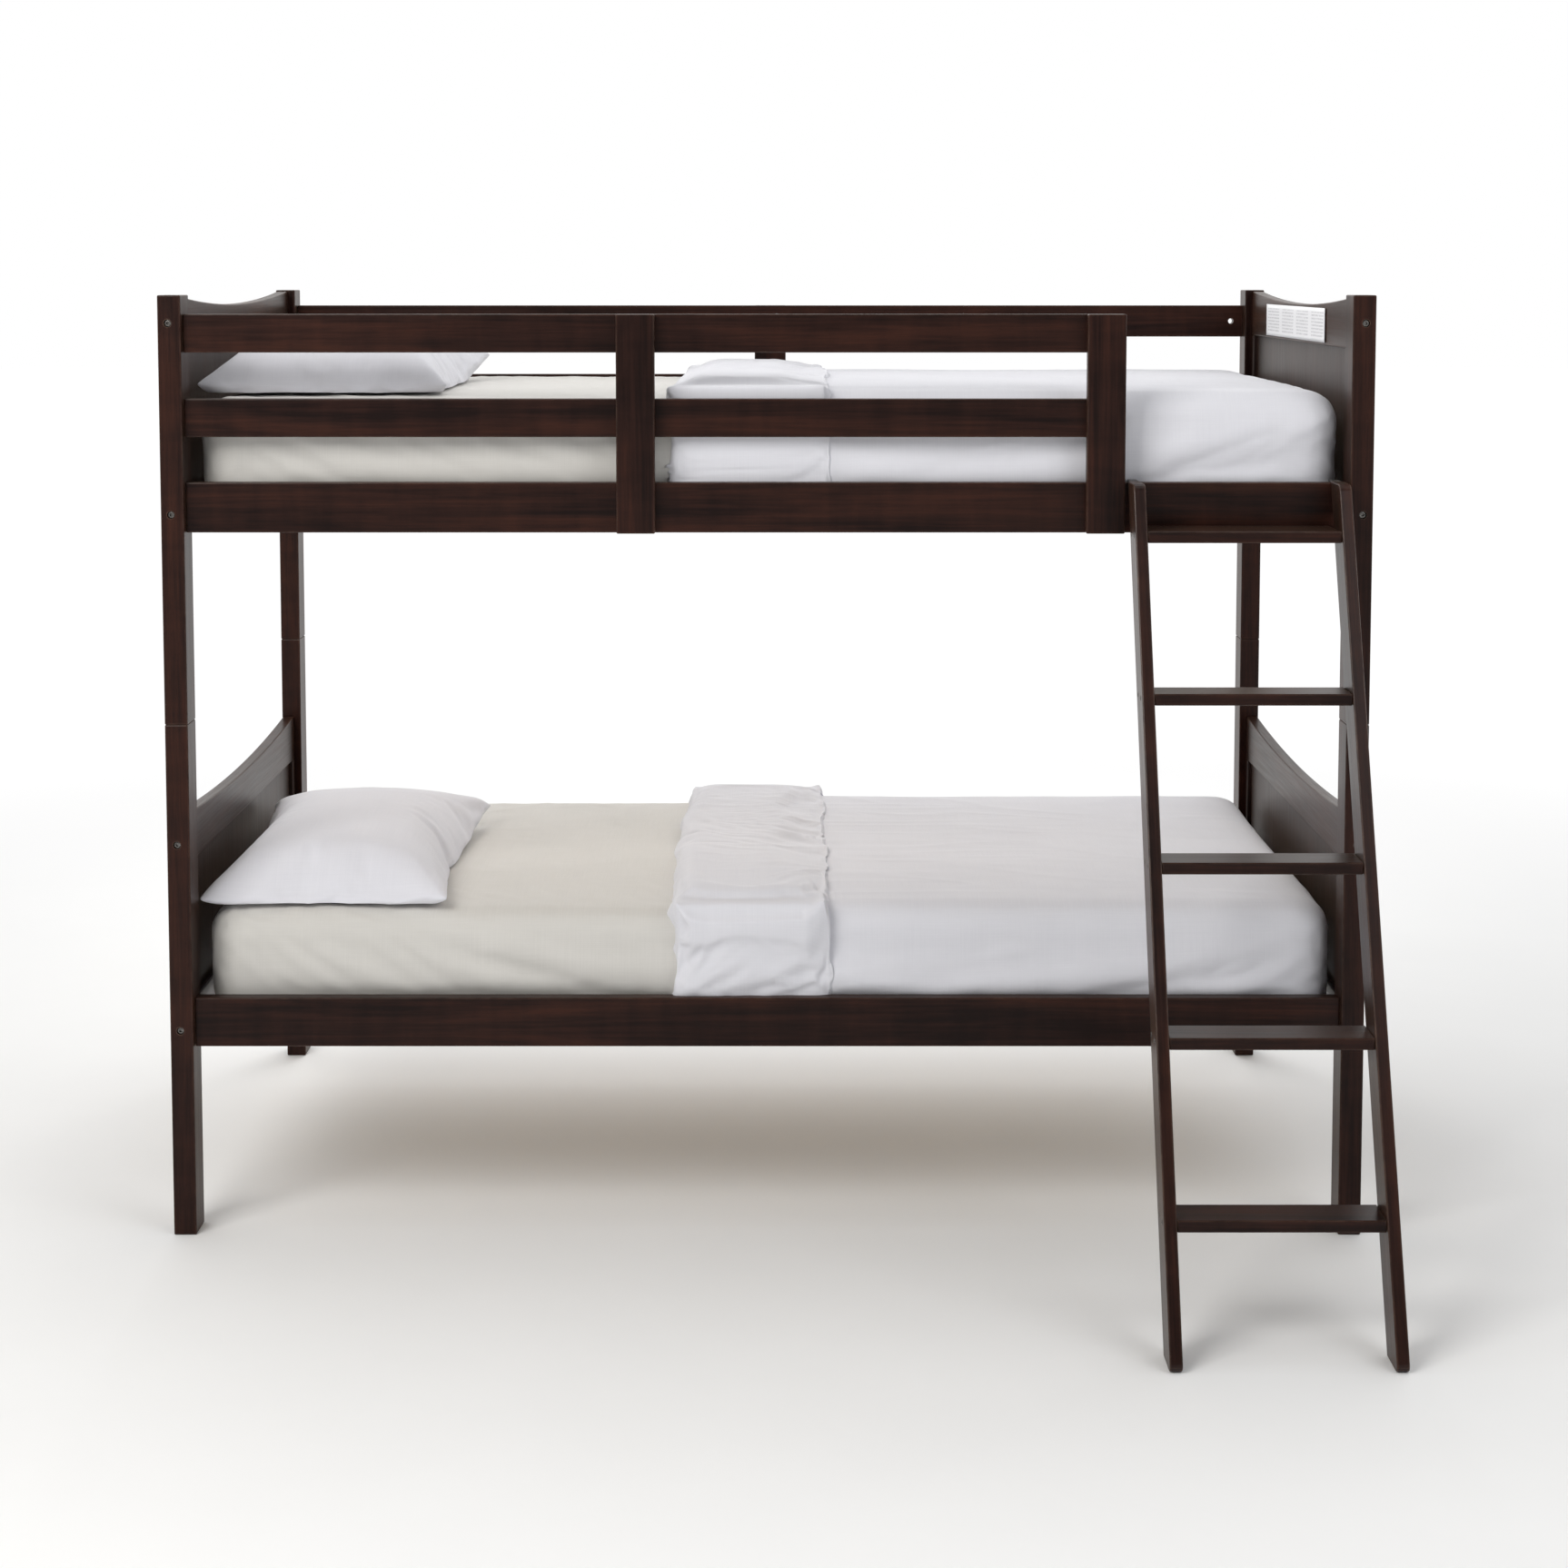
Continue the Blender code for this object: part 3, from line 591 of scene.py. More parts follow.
def hookScrewPlaces():
    # two screws through each hook's plate, which is let into the back edge of its stile
    way = Vector((0, math.cos(ladderLean), -math.sin(ladderLean)))
    along = Vector((0, math.sin(ladderLean), math.cos(ladderLean)))
    for sideName in ends:
        low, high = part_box(f"ladder_hook_{sideName}")
        foot = Vector(((low.x + high.x) / 2, low.y + screws["plate"] * way.y, low.z))
        for rise in screws["rises"]:
            yield pointing(foot + along * rise, way)


def makeScrews():
    master = makeScrew()
    groups = (("ladder_screws", "ladder", stileScrewPlaces), ("ladder_hook_screws", "ladder", hookScrewPlaces),
              ("upper_guard_screws", "upper_bunk", guardScrewPlaces))
    for name, body, places in groups:
        made = joinAll(name, [copyOf(master, "screw", place) for place in places()])
        settle(made, body, boltSteel)
    removePiece(master)


slats = dict(
    count=14, width=0.070, thick=0.018, round=0.0028, inset=0.004, strap=0.022, strapThick=0.0022, strapLift=0.0003,
    strapInset=0.180, strapEdge=0.0004, sag=0.0012, staple=0.010, wire=0.0009, stapleLift=0.0005, stapleStep=0.012,
)


def makeStaple():
    # a wire staple whose back lies along X at the origin
    deselectAll()
    bpy.ops.mesh.primitive_cylinder_add(vertices=8, radius=slats["wire"] / 2, depth=slats["staple"],
                                        rotation=(0, math.pi / 2, 0))
    wire = bpy.context.object
    applyPlace(wire)
    selectIn(wire, "edges", lambda a, b: abs(abs(a.x) - slats["staple"] / 2) < 1e-5 and abs(a.x - b.x) < 1e-5)
    bpy.ops.mesh.bevel(offset=slats["wire"] / 5, segments=2, affect="EDGES")
    leaveEdit()
    wire.data.shade_smooth()
    return wire


def makeSlats(bunk):
    low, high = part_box(f"{bunk}_slat_deck")
    top = low.z + slats["thick"]
    master = addBox("slat", (low.x, low.y, low.z), (low.x + slats["width"], high.y, top))
    selectIn(master, "edges", lambda a, b: True)
    bpy.ops.mesh.bevel(offset=slats["round"], segments=3, affect="EDGES")
    leaveEdit()
    selectIn(master, "faces", lambda c, n: abs(n.z) > 0.9)
    bpy.ops.mesh.inset(thickness=slats["inset"])
    leaveEdit()
    pitch = (high.x - low.x - slats["width"]) / (slats["count"] - 1)
    copies = [copyOf(master, "slat", Matrix.Translation((i * pitch, 0, 0))) for i in range(slats["count"])]
    removePiece(master)
    made = joinAll(f"{bunk}_slats", copies)
    shadeByAngle(made, 40)
    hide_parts(f"{bunk}_slat_deck")
    settle(made, f"{bunk}_bunk", woods["pineAlongY"])
    makeStraps(bunk, low, high, top, pitch)


def makeStraps(bunk, low, high, top, pitch):
    # two webbing straps over the slats, with two staples in each slat
    staple = makeStaple()
    staples = []
    middle = (low.y + high.y) / 2
    half = (high.y - low.y) / 2 - slats["strapInset"]
    start, end = low.x + slats["width"] / 4, high.x - slats["width"] / 4
    for sideName, side in sides.items():
        y = middle + side * half
        strap = addGrid(f"{bunk}_slat_strap_{sideName}", 220, 4, end - start, slats["strap"])
        strap.location = ((start + end) / 2, y, top + slats["strapThick"] / 2 + slats["strapLift"])
        applyPlace(strap)
        place = points(strap)
        share = ((place[:, 0] - low.x) % pitch) / pitch
        between = np.clip((share - slats["width"] / pitch) / (1 - slats["width"] / pitch), 0, 1)
        place[:, 2] -= slats["sag"] * np.sin(between * math.pi)
        setPoints(strap, place)
        applyModifier(strap, "SOLIDIFY", thickness=slats["strapThick"], offset=0)
        applyModifier(strap, "BEVEL", width=slats["strapEdge"], segments=1, limit_method="ANGLE",
                      angle_limit=math.radians(50))
        strap.data.shade_smooth()
        settle(strap, f"{bunk}_bunk", webbing)
        for i in range(slats["count"]):
            for step in (-1, 1):
                x = low.x + i * pitch + slats["width"] / 2 + step * slats["stapleStep"]
                spot = Matrix.Translation((x, y, top + slats["strapThick"] + slats["stapleLift"]))
                staples.append(copyOf(staple, "staple", spot @ Matrix.Rotation(math.pi / 2, 4, "Z")))
    removePiece(staple)
    settle(joinAll(f"{bunk}_slat_staples", staples), f"{bunk}_bunk", boltSteel)


card = dict(front=0.227, rise=0.0045, width=0.556, height=0.061, thick=0.0004, lift=0.0006, curl=0.0012, ripple=0.0004)


def makeCard():
    # a plain printed card with pale grey bars on the inner face of the upper right end rail
    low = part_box("upper_end_top_rail_right")[0]
    x = low.x - card["lift"]
    front, bottom = low.y + card["front"], low.z + card["rise"]
    made = addGrid("upper_care_card", 48, 8, card["width"], card["height"])
    made.data.transform(Matrix(((0, 0, -1), (-1, 0, 0), (0, 1, 0))).to_4x4())  # upright, its face to the bed
    made.data.transform(Matrix.Translation((x, front + card["width"] / 2, bottom + card["height"] / 2)))
    place = points(made)
    curl = np.abs(place[:, 1] - front - card["width"] / 2) / (card["width"] / 2)
    place[:, 0] -= card["curl"] * curl ** 8 + card["ripple"] * np.sin(place[:, 1] * 40)
    setPoints(made, place)
    applyModifier(made, "SOLIDIFY", thickness=card["thick"], offset=0)
    made.data.shade_smooth()
    return settle(made, "upper_bunk", cardPaper)


makeBolts()
makeScrews()
for bunk in bunks:
    makeSlats(bunk)
makeCard()
print("fasteners, slats and card ready")


# Bedding

def softNoise(places, seed):
    # smooth random values from 0 to 1 at each place, one cell to a unit
    table = np.random.default_rng(seed).random((32, 32, 32))
    cell = np.floor(places).astype(int)
    part = places - cell
    part = part * part * (3 - 2 * part)
    total = np.zeros(len(places))
    for corner in np.ndindex(2, 2, 2):
        share = np.prod(np.where(np.array(corner) == 1, part, 1 - part), axis=1)
        i, j, k = ((cell + corner) % 32).T
        total += share * table[i, j, k]
    return total


def creases(places, cells, seed, sharp=1.0):
    # thin ridges along the lines where a warped noise passes its middle, from -0.5 to 0.5
    warped = places * cells
    warped = warped + 0.9 * np.stack([softNoise(warped * 0.6 + 7 * n, seed + n) for n in range(3)], axis=1)
    ridge = 1 - np.abs(2 * softNoise(warped, seed + 5) - 1) * 1.6
    return np.clip(ridge, 0, 1) ** (1 + sharp) - 0.35


def pushOut(piece, amount):
    normals = np.empty(len(piece.data.vertices) * 3, np.float32)
    piece.data.vertices.foreach_get("normal", normals)
    setPoints(piece, points(piece) + normals.reshape(-1, 3) * np.asarray(amount).reshape(-1, 1))


def smoothStep(value, start, end):
    share = np.clip((value - start) / (end - start), 0, 1)
    return share * share * (3 - 2 * share)


def simulate(piece, look, colliders=(), pinned=None):
    # runs the cloth, keeps each point within the cap of where it began, and applies the result
    began = points(piece)
    for other in colliders:
        hard = addModifier(other, "COLLISION")
        hard.settings.thickness_outer = look["gap"]
        hard.settings.cloth_friction = 12
    cloth = piece.modifiers.new("cloth", "CLOTH")
    for key, value in look["cloth"].items():
        setattr(cloth.settings, key, value)
    cloth.settings.effector_weights.gravity = look["gravity"]
    cloth.collision_settings.distance_min = look["gap"]
    cloth.collision_settings.use_self_collision = False
    if pinned is not None:
        group = piece.vertex_groups.new(name="pinned")
        for i, weight in enumerate(pinned):
            if weight > 0:
                group.add([i], float(weight), "REPLACE")
        cloth.settings.vertex_group_mass = "pinned"
    cloth.point_cache.frame_start = 1
    cloth.point_cache.frame_end = look["frames"]
    for number in range(1, look["frames"] + 1):
        bpy.context.scene.frame_set(number)
    activate(piece)
    bpy.ops.object.modifier_apply(modifier=cloth.name)
    piece.vertex_groups.clear()
    for other in colliders:
        other.modifiers.clear()
    bpy.context.scene.frame_set(1)
    moved = points(piece) - began
    far = np.linalg.norm(moved, axis=1, keepdims=True)
    setPoints(piece, began + moved * np.minimum(1, look["cap"] / np.maximum(far, 1e-9)))


def keepClear(piece, other, gap):
    # moves points that are nearer to the other piece than the gap, or inside it, out to the gap
    dependencies = bpy.context.evaluated_depsgraph_get()
    tree = BVHTree.FromObject(other, dependencies)
    place = points(piece)
    for i, point in enumerate(place):
        nearest, normal, _, _ = tree.find_nearest(Vector(point), 0.05)
        if nearest is not None:
            away = (Vector(point) - nearest).dot(normal)
            if away < gap:
                place[i] = point + np.array(normal * (gap - away))
    setPoints(piece, place)


tuck = dict(  # distances from the middle of the bed
    coverStart=0.486, coverReach=0.4965, underFold=0.4910, byHook=0.4905, foldStart=0.4912, foldReach=0.4965,
)


def tuckIn(piece, start, reach):
    # presses the sides of the upper bedding in, so that it clears the guard rails and the ladder's hooks as they pass
    front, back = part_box("front_guard_rail_top")[1].y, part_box("back_guard_rail_top")[0].y
    place = points(piece)
    across = place[:, 1] - (front + back) / 2
    beyond = np.maximum(np.abs(across) - start, 0)
    room = reach - start
    most = np.maximum(beyond.max(), room + 0.001)
    bend = room * most / (most - room)
    pressed = np.minimum(np.abs(across), start) + beyond * bend / (beyond + bend)
    place[:, 1] = (front + back) / 2 + np.sign(across) * pressed
    setPoints(piece, place)


def coverReach(cover):
    # how far out the cover may come: less under its turned-back band and in front of the hooks
    place = points(cover)
    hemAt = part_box("upper_comforter")[0].x + foldBand["length"]
    underFold = smoothStep(place[:, 0], hemAt + 0.06, hemAt + 0.01)
    reach = tuck["coverReach"] + (tuck["underFold"] - tuck["coverReach"]) * underFold
    for sideName in ("left", "right"):
        low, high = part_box(f"ladder_hook_{sideName}")
        near = smoothStep(np.abs(place[:, 0] - (low.x + high.x) / 2), 0.055, 0.010) * (place[:, 1] < 0)
        reach = np.minimum(reach, tuck["coverReach"] + (tuck["byHook"] - tuck["coverReach"]) * near)
    return reach


def roundedBlock(name, low, high, upright, brow, foot=None):
    # a box whose upright edges, top edges and bottom edges are rounded by their own radii
    block = addBox(name, low, high)
    selectIn(block, "edges", lambda a, b: abs(a.z - b.z) > 1e-4)
    bpy.ops.mesh.bevel(offset=upright, segments=6, affect="EDGES", clamp_overlap=True)
    leaveEdit()
    for level, radius in ((high[2], brow), (low[2], foot)):
        if radius:
            selectIn(block, "edges", lambda a, b: abs(a.z - level) < 1e-4 and abs(b.z - level) < 1e-4)
            bpy.ops.mesh.bevel(offset=radius, segments=5, affect="EDGES", clamp_overlap=True)
            leaveEdit()
    return block


def voxels(piece, size):
    applyModifier(piece, "REMESH", mode="VOXEL", voxel_size=size, use_smooth_shade=True)


def cutAway(piece, place, normal):
    # removes what lies on the side that the normal points to
    selectIn(piece, "faces", lambda centre, way: True)
    bpy.ops.mesh.select_all(action="SELECT")
    bpy.ops.mesh.bisect(plane_co=place, plane_no=normal, clear_outer=True)
    leaveEdit()


def relax(piece, rounds=2, factor=0.5):
    applyModifier(piece, "SMOOTH", factor=factor, iterations=rounds)


def refine(piece):
    applyModifier(piece, "SUBSURF", levels=1, render_levels=1)
    piece.data.shade_smooth()


def flatCoordinates(piece, low, high):
    # a UV map in metres, as if the cloth's sides were laid flat round its top
    mesh = piece.data
    place = points(piece)
    drop = np.clip(high[2] - place[:, 2], 0, None)
    outX = np.maximum(place[:, 0] - (high[0] - 0.03), 0) - np.maximum((low[0] + 0.03) - place[:, 0], 0)
    outY = np.maximum(place[:, 1] - (high[1] - 0.03), 0) - np.maximum((low[1] + 0.03) - place[:, 1], 0)
    total = np.abs(outX) + np.abs(outY) + 1e-6
    u = place[:, 0] + drop * outX / total
    v = place[:, 1] + drop * outY / total
    layer = mesh.uv_layers[0] if mesh.uv_layers else mesh.uv_layers.new(name="flat")
    corner = np.empty(len(mesh.loops), np.int32)
    mesh.loops.foreach_get("vertex_index", corner)
    layer.data.foreach_set("uv", np.stack([u[corner], v[corner]], axis=1).astype(np.float32).ravel())


mattress = dict(slack=0.006, lift=0.0015, upright=0.055, brow=0.040, foot=0.018, voxel=0.012, crown=0.004,
                quilt=0.075, dimple=0.005)


def makeMattress(bunk):
    low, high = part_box(f"{bunk}_mattress")
    inset = Vector((mattress["slack"], mattress["slack"], 0))
    low = low + inset + Vector((0, 0, mattress["lift"]))
    high = high - inset - Vector((0, 0, mattress["slack"] + mattress["crown"]))
    pad = roundedBlock(f"{bunk}_mattress_core", low, high, mattress["upright"], mattress["brow"], mattress["foot"])
    voxels(pad, mattress["voxel"])
    place = points(pad)
    middle, half = (low + high) / 2, (high - low) / 2
    across = 1 - np.clip(np.abs(place[:, 1] - middle.y) / half.y, 0, 1) ** 3
    along = 1 - np.clip(np.abs(place[:, 0] - middle.x) / half.x, 0, 1) ** 6
    upper = smoothStep(place[:, 2], middle.z, high.z)
    place[:, 2] += mattress["crown"] * across * along * upper
    under = smoothStep(place[:, 2], low.z + 0.012, low.z + 0.002)
    quilt = np.abs(np.prod(np.sin(place[:, :2] * math.pi / mattress["quilt"]), axis=1))
    place[:, 2] += mattress["dimple"] * (1 - quilt ** 0.35) * under
    setPoints(pad, place)
    pad.data.shade_smooth()
    flatCoordinates(pad, low, high)
    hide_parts(f"{bunk}_mattress")
    return settle(pad, f"{bunk}_bed", tickingCloth)


fittedSheet = dict(
    clear=0.0025, hem=0.045, voxel=0.0125, gap=0.0015, frames=14, gravity=1.0, cap=0.010, pinned=0.03,
    broad=0.0022, fineTop=0.0006, fineSide=0.0011, tucks=0.0016, gather=0.0012,
    cloth=dict(quality=4, mass=0.12, tension_stiffness=25, compression_stiffness=25, shear_stiffness=10,
               bending_stiffness=0.6, shrink_min=-0.012, air_damping=2),
)


def makeFittedSheet(bunk, pad, seed):
    low, high = boxOf(pad)
    grow = Vector((fittedSheet["clear"],) * 3)
    low, high = low - grow, high + grow
    cover = roundedBlock(f"{bunk}_fitted_sheet", low, high, mattress["upright"] + 0.002, mattress["brow"] + 0.002, 0.02)
    voxels(cover, fittedSheet["voxel"])
    deepIn = fittedSheet["hem"]
    selectIn(cover, "faces", lambda c, n: c.z < low.z + 0.004 and low.x + deepIn < c.x < high.x - deepIn
             and low.y + deepIn < c.y < high.y - deepIn)
    bpy.ops.mesh.delete(type="FACE")
    leaveEdit()
    place = points(cover)
    middle, half = (low + high) / 2, (high - low) / 2
    pinned = np.where(place[:, 2] < low.z + fittedSheet["pinned"], 1.0, 0.0)
    simulate(cover, fittedSheet, [pad], pinned)
    relax(cover, 1, 0.4)
    refine(cover)
    place = points(cover)
    onSide = smoothStep(place[:, 2], high.z - 0.02, high.z - 0.06)
    broad = softNoise(place * (5, 5, 9), seed) - 0.5
    fine = creases(place, np.array((5, 9, 12)), seed + 11)
    tucks = creases(place, np.array((16, 16, 3)), seed + 23)
    nearCorner = smoothStep(np.abs(place[:, 0] - middle.x), half.x - 0.22, half.x - 0.05)
    amount = fittedSheet["broad"] * broad + fittedSheet["fineTop"] * fine * (1 - onSide)
    pushOut(cover, amount + onSide * (fittedSheet["fineSide"] * fine + fittedSheet["tucks"] * tucks * nearCorner))
    place = points(cover)
    gathered = smoothStep(place[:, 2], low.z + 0.03, low.z + 0.005)
    around = np.arctan2(place[:, 1] - middle.y, place[:, 0] - middle.x)
    ripple = np.sin((place[:, 0] + place[:, 1] * 1.3) * 340 + 3 * np.sin(around * 9))
    pushOut(cover, fittedSheet["gather"] * ripple * gathered)
    cover.data.shade_smooth()
    flatCoordinates(cover, low, high)
    return settle(cover, f"{bunk}_bed", sheetCloth)


comforter = dict(
    upright=0.062, brow=0.046, voxel=0.0115, gap=0.0025, frames=18, gravity=1.0, cap=0.014, thick=0.003,
    loftTop=0.013, loftSide=0.004, clear=0.0035, pinned=0.012, hemInset=0.03, sideInset=0.004, footInset=0.002,
    broad=0.004, lengthwise=0.0011, slanted=0.0010, sideways=0.0010, drapes=0.0009,
    cloth=dict(quality=4, mass=0.25, tension_stiffness=20, compression_stiffness=20, shear_stiffness=8,
               bending_stiffness=1.2, shrink_min=-0.011, air_damping=1),
)


def filling(pad, up, out):
    # what the comforter rests on in the simulation: the mattress grown upwards and outwards
    low, high = boxOf(pad)
    made = copyOf(pad, "filling")
    place = points(made)
    middle, half = (low + high) / 2, (high - low) / 2
    for axis in (0, 1):
        place[:, axis] = middle[axis] + (place[:, axis] - middle[axis]) * (half[axis] + out) / half[axis]
    place[:, 2] += up * smoothStep(place[:, 2], middle.z, high.z)
    setPoints(made, place)
    return made


def makeComforter(bunk, pad, sheet, seed):
    low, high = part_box(f"{bunk}_comforter")
    top = boxOf(pad)[1].z + comforter["loftTop"] + comforter["clear"]
    low = Vector((low.x + comforter["hemInset"], low.y + comforter["sideInset"], low.z))
    high = Vector((high.x - comforter["footInset"], high.y - comforter["sideInset"], top))
    cover = roundedBlock(f"{bunk}_comforter_cover", (low.x - 0.1, low.y, low.z - 0.05), high,
                         comforter["upright"], comforter["brow"])
    voxels(cover, comforter["voxel"])
    cutAway(cover, (low.x, 0, 0), (-1, 0, 0))
    cutAway(cover, (0, 0, low.z), (0, 0, -1))
    place = points(cover)
    pinned = np.where(place[:, 2] < low.z + comforter["pinned"], 1.0, 0.0)
    inside = filling(pad, comforter["loftTop"], comforter["loftSide"])
    simulate(cover, comforter, [inside], pinned)
    removePiece(inside)
    relax(cover, 6, 0.5)
    refine(cover)
    place = points(cover)
    onSide = smoothStep(place[:, 2], high.z - 0.03, high.z - 0.07)
    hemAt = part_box(f"{bunk}_comforter")[0].x + foldBand["length"]
    nearHem = smoothStep(place[:, 0], hemAt + 0.35, hemAt)
    broad = softNoise(place * (4, 6, 8), seed) - 0.5
    lengthwise = creases(place, np.array((3.0, 26, 26)), seed + 31, 0.6)
    turned = place @ np.array(((0.94, 0.34, 0), (-0.34, 0.94, 0), (0, 0, 1)))
    slanted = creases(turned, np.array((5, 17, 17)), seed + 47)
    drapes = creases(place, np.array((26, 26, 2.5)), seed + 59)
    amount = comforter["broad"] * broad + comforter["lengthwise"] * lengthwise * (0.35 + nearHem)
    amount = amount + comforter["slanted"] * slanted
    amount = amount + onSide * (comforter["sideways"] * lengthwise + comforter["drapes"] * drapes)
    pushOut(cover, amount)
    keepClear(cover, sheet, comforter["clear"])
    applyModifier(cover, "SOLIDIFY", thickness=comforter["thick"], offset=-1)
    if bunk == "upper":
        tuckIn(cover, tuck["coverStart"], coverReach(cover))
    cover.data.shade_smooth()
    flatCoordinates(cover, low, high)
    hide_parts(f"{bunk}_comforter")
    return settle(cover, f"{bunk}_bed", comforterCloth)


foldBand = dict(
    length=0.280, inset=0.006, thick=0.013, side=0.006, voxel=0.0065, gap=0.002, frames=16, gravity=0.2, cap=0.012,
    upright=0.004, brow=0.044, pinned=0.010, wave=0.006, lengthwise=0.0007, slanted=0.0012, clear=0.0012,
    cloth=dict(quality=4, mass=0.02, tension_stiffness=14, compression_stiffness=14, shear_stiffness=5,
               bending_stiffness=0.5, use_pressure=True, uniform_pressure_force=1.6, shrink_min=-0.012),
)


def makeFoldBand(bunk, cover, seed):
    # the part of the comforter that is turned back: a soft strip over the bed and down both sides
    low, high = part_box(f"{bunk}_comforter")
    inner = boxOf(cover)
    left, right = low.x + foldBand["inset"], low.x + foldBand["length"]
    out = foldBand["side"]
    top = inner[1].z + foldBand["thick"]
    outer = roundedBlock(f"{bunk}_comforter_fold", (left, inner[0].y - out, low.z), (right, inner[1].y + out, top),
                         foldBand["upright"], foldBand["brow"])
    hollow = roundedBlock("hollow", (left - 0.1, inner[0].y - 0.0005, low.z - 0.1),
                          (right + 0.1, inner[1].y + 0.0005, inner[1].z + 0.001), foldBand["upright"], foldBand["brow"])
    applyModifier(outer, "BOOLEAN", operation="DIFFERENCE", object=hollow, solver="EXACT")
    removePiece(hollow)
    voxels(outer, foldBand["voxel"])
    place = points(outer)
    pinned = np.where(place[:, 2] < low.z + foldBand["pinned"], 1.0, 0.0)
    around = place[:, 1] + np.sign(place[:, 1] - (low.y + high.y) / 2) * (inner[1].z - place[:, 2])
    for edge, way in ((left, 1), (right, 0.6)):
        near = smoothStep(np.abs(place[:, 0] - edge), 0.06, 0.0)
        lane = np.stack([around * 5.5, np.full(len(place), edge * 9.0), np.zeros(len(place))], axis=1)
        place[:, 0] += near * way * foldBand["wave"] * 2 * (softNoise(lane, seed + 3) - 0.5)
    setPoints(outer, place)
    simulate(outer, foldBand, [cover], pinned)
    relax(outer, 2, 0.4)
    refine(outer)
    place = points(outer)
    onSide = smoothStep(place[:, 2], high.z - 0.05, high.z - 0.09)
    lengthwise = creases(place, np.array((6, 22, 22)), seed + 31, 0.6)
    turned = place @ np.array(((0.8, 0, 0.6), (0, 1, 0), (-0.6, 0, 0.8)))
    slanted = creases(turned, np.array((7, 16, 20)), seed + 47)
    pushOut(outer, foldBand["lengthwise"] * lengthwise + foldBand["slanted"] * slanted * (0.3 + onSide))
    keepClear(outer, cover, foldBand["clear"])
    if bunk == "upper":
        tuckIn(outer, tuck["foldStart"], tuck["foldReach"])
    outer.data.shade_smooth()
    flatCoordinates(outer, low, high)
    return settle(outer, f"{bunk}_bed", comforterCloth)


pillow = dict(
    flat=(0.452, 0.682), columns=52, rows=78, seam=0.006, drop=0.03, reach=0.10, rimLift=0.012, pleat=0.010,
    crease=0.0009, slack=0.004,
    gap=0.0015, frames=26, gravity=1.0, cap=0.30,
    cloth=dict(quality=5, mass=0.01, tension_stiffness=18, compression_stiffness=18, shear_stiffness=6,
               bending_stiffness=0.25, use_pressure=True, uniform_pressure_force=4.3, air_damping=2),
)


def layRim(case, middle, level, seed):
    # lets the front outline of the pillow sink onto the bed with small pleats, so that its top stays domed
    place = points(case)
    toCentre = place[:, :2] - (middle.x, middle.y)
    u, v = np.abs(toCentre).T
    inward = np.minimum(u.max() - u, v.max() - v)
    atRim = 1 - smoothStep(inward, 0.0, pillow["reach"])
    rimHeight = place[atRim > 0.97, 2].mean() - level
    frontShare = 1 - 0.9 * smoothStep(toCentre[:, 1], 0.0, 0.32)
    place[:, 2] -= atRim * frontShare * (rimHeight - pillow["rimLift"])
    atEdge = 1 - smoothStep(inward, 0.01, 0.07)
    pleats = softNoise(np.stack([u * 24, v * 24, place[:, 2] * 8], axis=1), seed + 9) - 0.5
    place[:, 2] += pillow["pleat"] * pleats * atEdge
    place[:, 1] += 0.5 * pillow["pleat"] * pleats * atEdge
    place[:, 2] = np.maximum(place[:, 2], level + 0.001)
    setPoints(case, place)


def makePillow(bunk, seed):
    low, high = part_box(f"{bunk}_pillow")
    middle = (low + high) / 2
    case = addGrid(f"{bunk}_pillow_case", pillow["columns"], pillow["rows"], *pillow["flat"])
    applyModifier(case, "SOLIDIFY", thickness=pillow["seam"], offset=0)
    case.data.transform(Matrix.Translation((middle.x, middle.y, low.z + pillow["drop"])))
    bedTop = addBox("bedTop", (low.x - 0.1, low.y - 0.2, low.z - 0.05), (high.x + 0.3, high.y + 0.2, low.z))
    simulate(case, pillow, [bedTop])
    removePiece(bedTop)
    layRim(case, middle, low.z, seed)
    relax(case, 2, 0.4)
    refine(case)
    place = points(case)
    folds = creases(place, np.array((14, 14, 14)), seed)
    rim = smoothStep(place[:, 2], low.z + 0.06, low.z + 0.02)
    pushOut(case, pillow["crease"] * folds * (0.4 + rim))
    place = points(case)
    size, room = place.max(0) - place.min(0), np.array(high - low)
    fitted = np.minimum(1.0, (room + pillow["slack"]) / size)
    centre = (place.max(0) + place.min(0)) / 2
    place = (place - centre) * fitted
    place += np.array(middle) - (place.max(0) + place.min(0)) / 2
    place[:, 2] += low.z - place[:, 2].min()
    setPoints(case, place)
    case.data.shade_smooth()
    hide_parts(f"{bunk}_pillow")
    return settle(case, f"{bunk}_pillow", pillowCloth)


for number, bunk in enumerate(bunks):
    pad = makeMattress(bunk)
    sheet = makeFittedSheet(bunk, pad, 10 + number)
    print(bunk, "mattress and sheet ready")
    cover = makeComforter(bunk, pad, sheet, 40 + number)
    makeFoldBand(bunk, cover, 60 + number)
    print(bunk, "comforter ready")
    makePillow(bunk, 70 + number)
    print(bunk, "pillow ready")


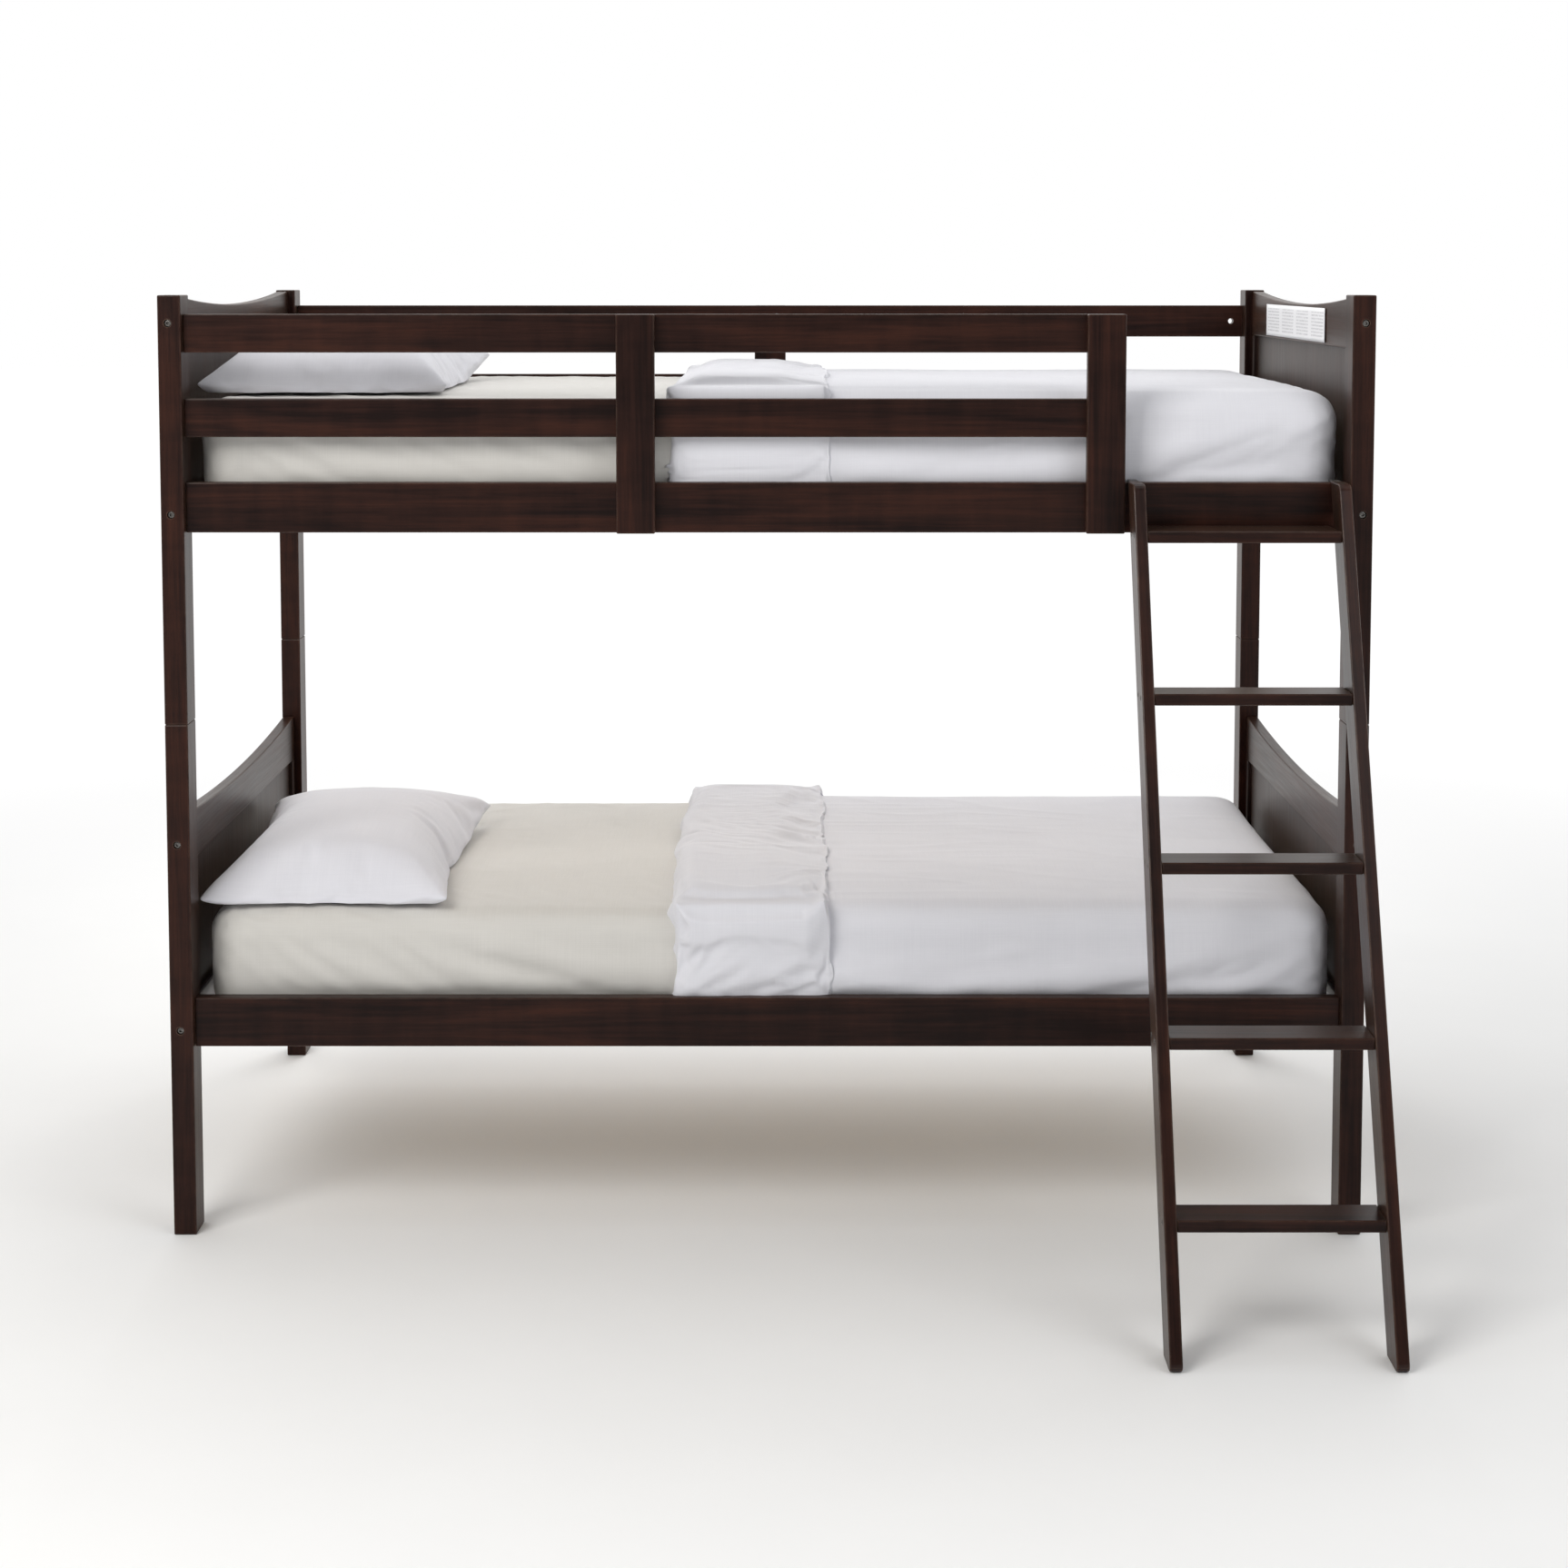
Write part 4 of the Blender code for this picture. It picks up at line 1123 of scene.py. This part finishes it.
camera = dict(place=(0.0285, -4.560, 1.640), down=4.447, lens=59.54, shift=-0.200)
lamps = {  # place, what it points at, size, power, colour
    "keyLamp": ((-2.2, -2.9, 3.4), (0, 0.2, 1.2), 2.2, 106, (1, 0.985, 0.96)),
    "fillLamp": ((2.6, -2.8, 2.9), (0, 0.1, 1.3), 2.2, 34, (0.97, 0.98, 1)),
    "topLamp": ((0.2, 0.6, 4.2), (0, 0.3, 0.8), 3.2, 14, (1, 1, 1)),
    "backLamp": ((0, 3.4, 2.3), (0, 0.2, 0.55), 2.4, 60, (1, 1, 1)),
}
surround = dict(seen=(1, 1, 1, 1), front=0.13, back=1.1, floor=(0.88, 0.88, 0.875, 1), fadeFrom=1.6, fadeTo=5.0)


def makeCamera():
    data = bpy.data.cameras.new("mainCamera")
    made = bpy.data.objects.new("mainCamera", data)
    bpy.context.scene.collection.objects.link(made)
    made.location = camera["place"]
    made.rotation_euler = (math.radians(90 - camera["down"]), 0, 0)
    data.lens = camera["lens"]
    data.sensor_width = 36
    data.shift_y = camera["shift"]
    data.clip_end = 200
    bpy.context.scene.camera = made


def makeLamps():
    for name, (place, target, size, power, color) in lamps.items():
        data = bpy.data.lights.new(name, "AREA")
        data.shape = "SQUARE"
        data.size = size
        data.energy = power
        data.color = color
        made = bpy.data.objects.new(name, data)
        bpy.context.scene.collection.objects.link(made)
        made.location = place
        made.visible_camera = False
        made.visible_glossy = name != "backLamp"
        made.rotation_euler = (Vector(target) - Vector(place)).to_track_quat("-Z", "Y").to_euler()


def makeSurround():
    # a white studio: what lies behind the bed is brighter than what lies in front of it
    world = bpy.data.worlds.new("studio")
    bpy.context.scene.world = world
    world.use_nodes = True
    tree = world.node_tree
    direction = addNode(tree, "TexCoord").outputs["Generated"]
    depth = addNode(tree, "SeparateXYZ", {0: direction}).outputs["Y"]
    strength = rangeOf(tree, depth, -0.7, 0.7, surround["front"], surround["back"])
    seen = addNode(tree, "LightPath").outputs["Is Camera Ray"]
    mixed = addNode(tree, "Mix", {0: seen, 2: strength, 3: 1.0}).outputs[0]
    background = tree.nodes["Background"]
    background.inputs["Color"].default_value = surround["seen"]
    tree.links.new(mixed, background.inputs["Strength"])


def makeFloor():
    # a pale floor that brightens with distance until it meets the white behind it without an edge
    deselectAll()
    bpy.ops.mesh.primitive_circle_add(vertices=64, radius=40, fill_type="NGON", location=(0, 0, -0.0005))
    floor = bpy.context.object
    floor.name = "studio_floor"
    applyPlace(floor)
    made, tree, shader = newFinish("paleFloor", (0.9, 0.9, 0.9, 1), Roughness=0.75, Specular_IOR_Level=0.1,
                                   Emission_Strength=1.0)
    place = addNode(tree, "TexCoord").outputs["Object"]
    distance = addNode(tree, "VectorMath", {0: place}, operation="LENGTH").outputs["Value"]
    fade = {"Value": distance, "From Min": surround["fadeFrom"], "From Max": surround["fadeTo"]}
    away = addNode(tree, "MapRange", fade, interpolation_type="SMOOTHSTEP").outputs["Result"]
    grain = rangeOf(tree, noiseAt(tree, place, (1, 1, 1), 3.0, 5), 0.3, 0.7, 0.985, 1.0)
    near = mixColors(tree, 1.0, surround["floor"], grain, "MULTIPLY")
    tree.links.new(mixColors(tree, away, near, (0, 0, 0, 1)), shader["Base Color"])
    tree.links.new(mixColors(tree, away, (0, 0, 0, 1), (1, 1, 1, 1)), shader["Emission Color"])
    paint(floor, made)


makeCamera()
makeLamps()
makeSurround()
makeFloor()
bpy.context.scene.view_settings.view_transform = "Standard"
print("studio ready")
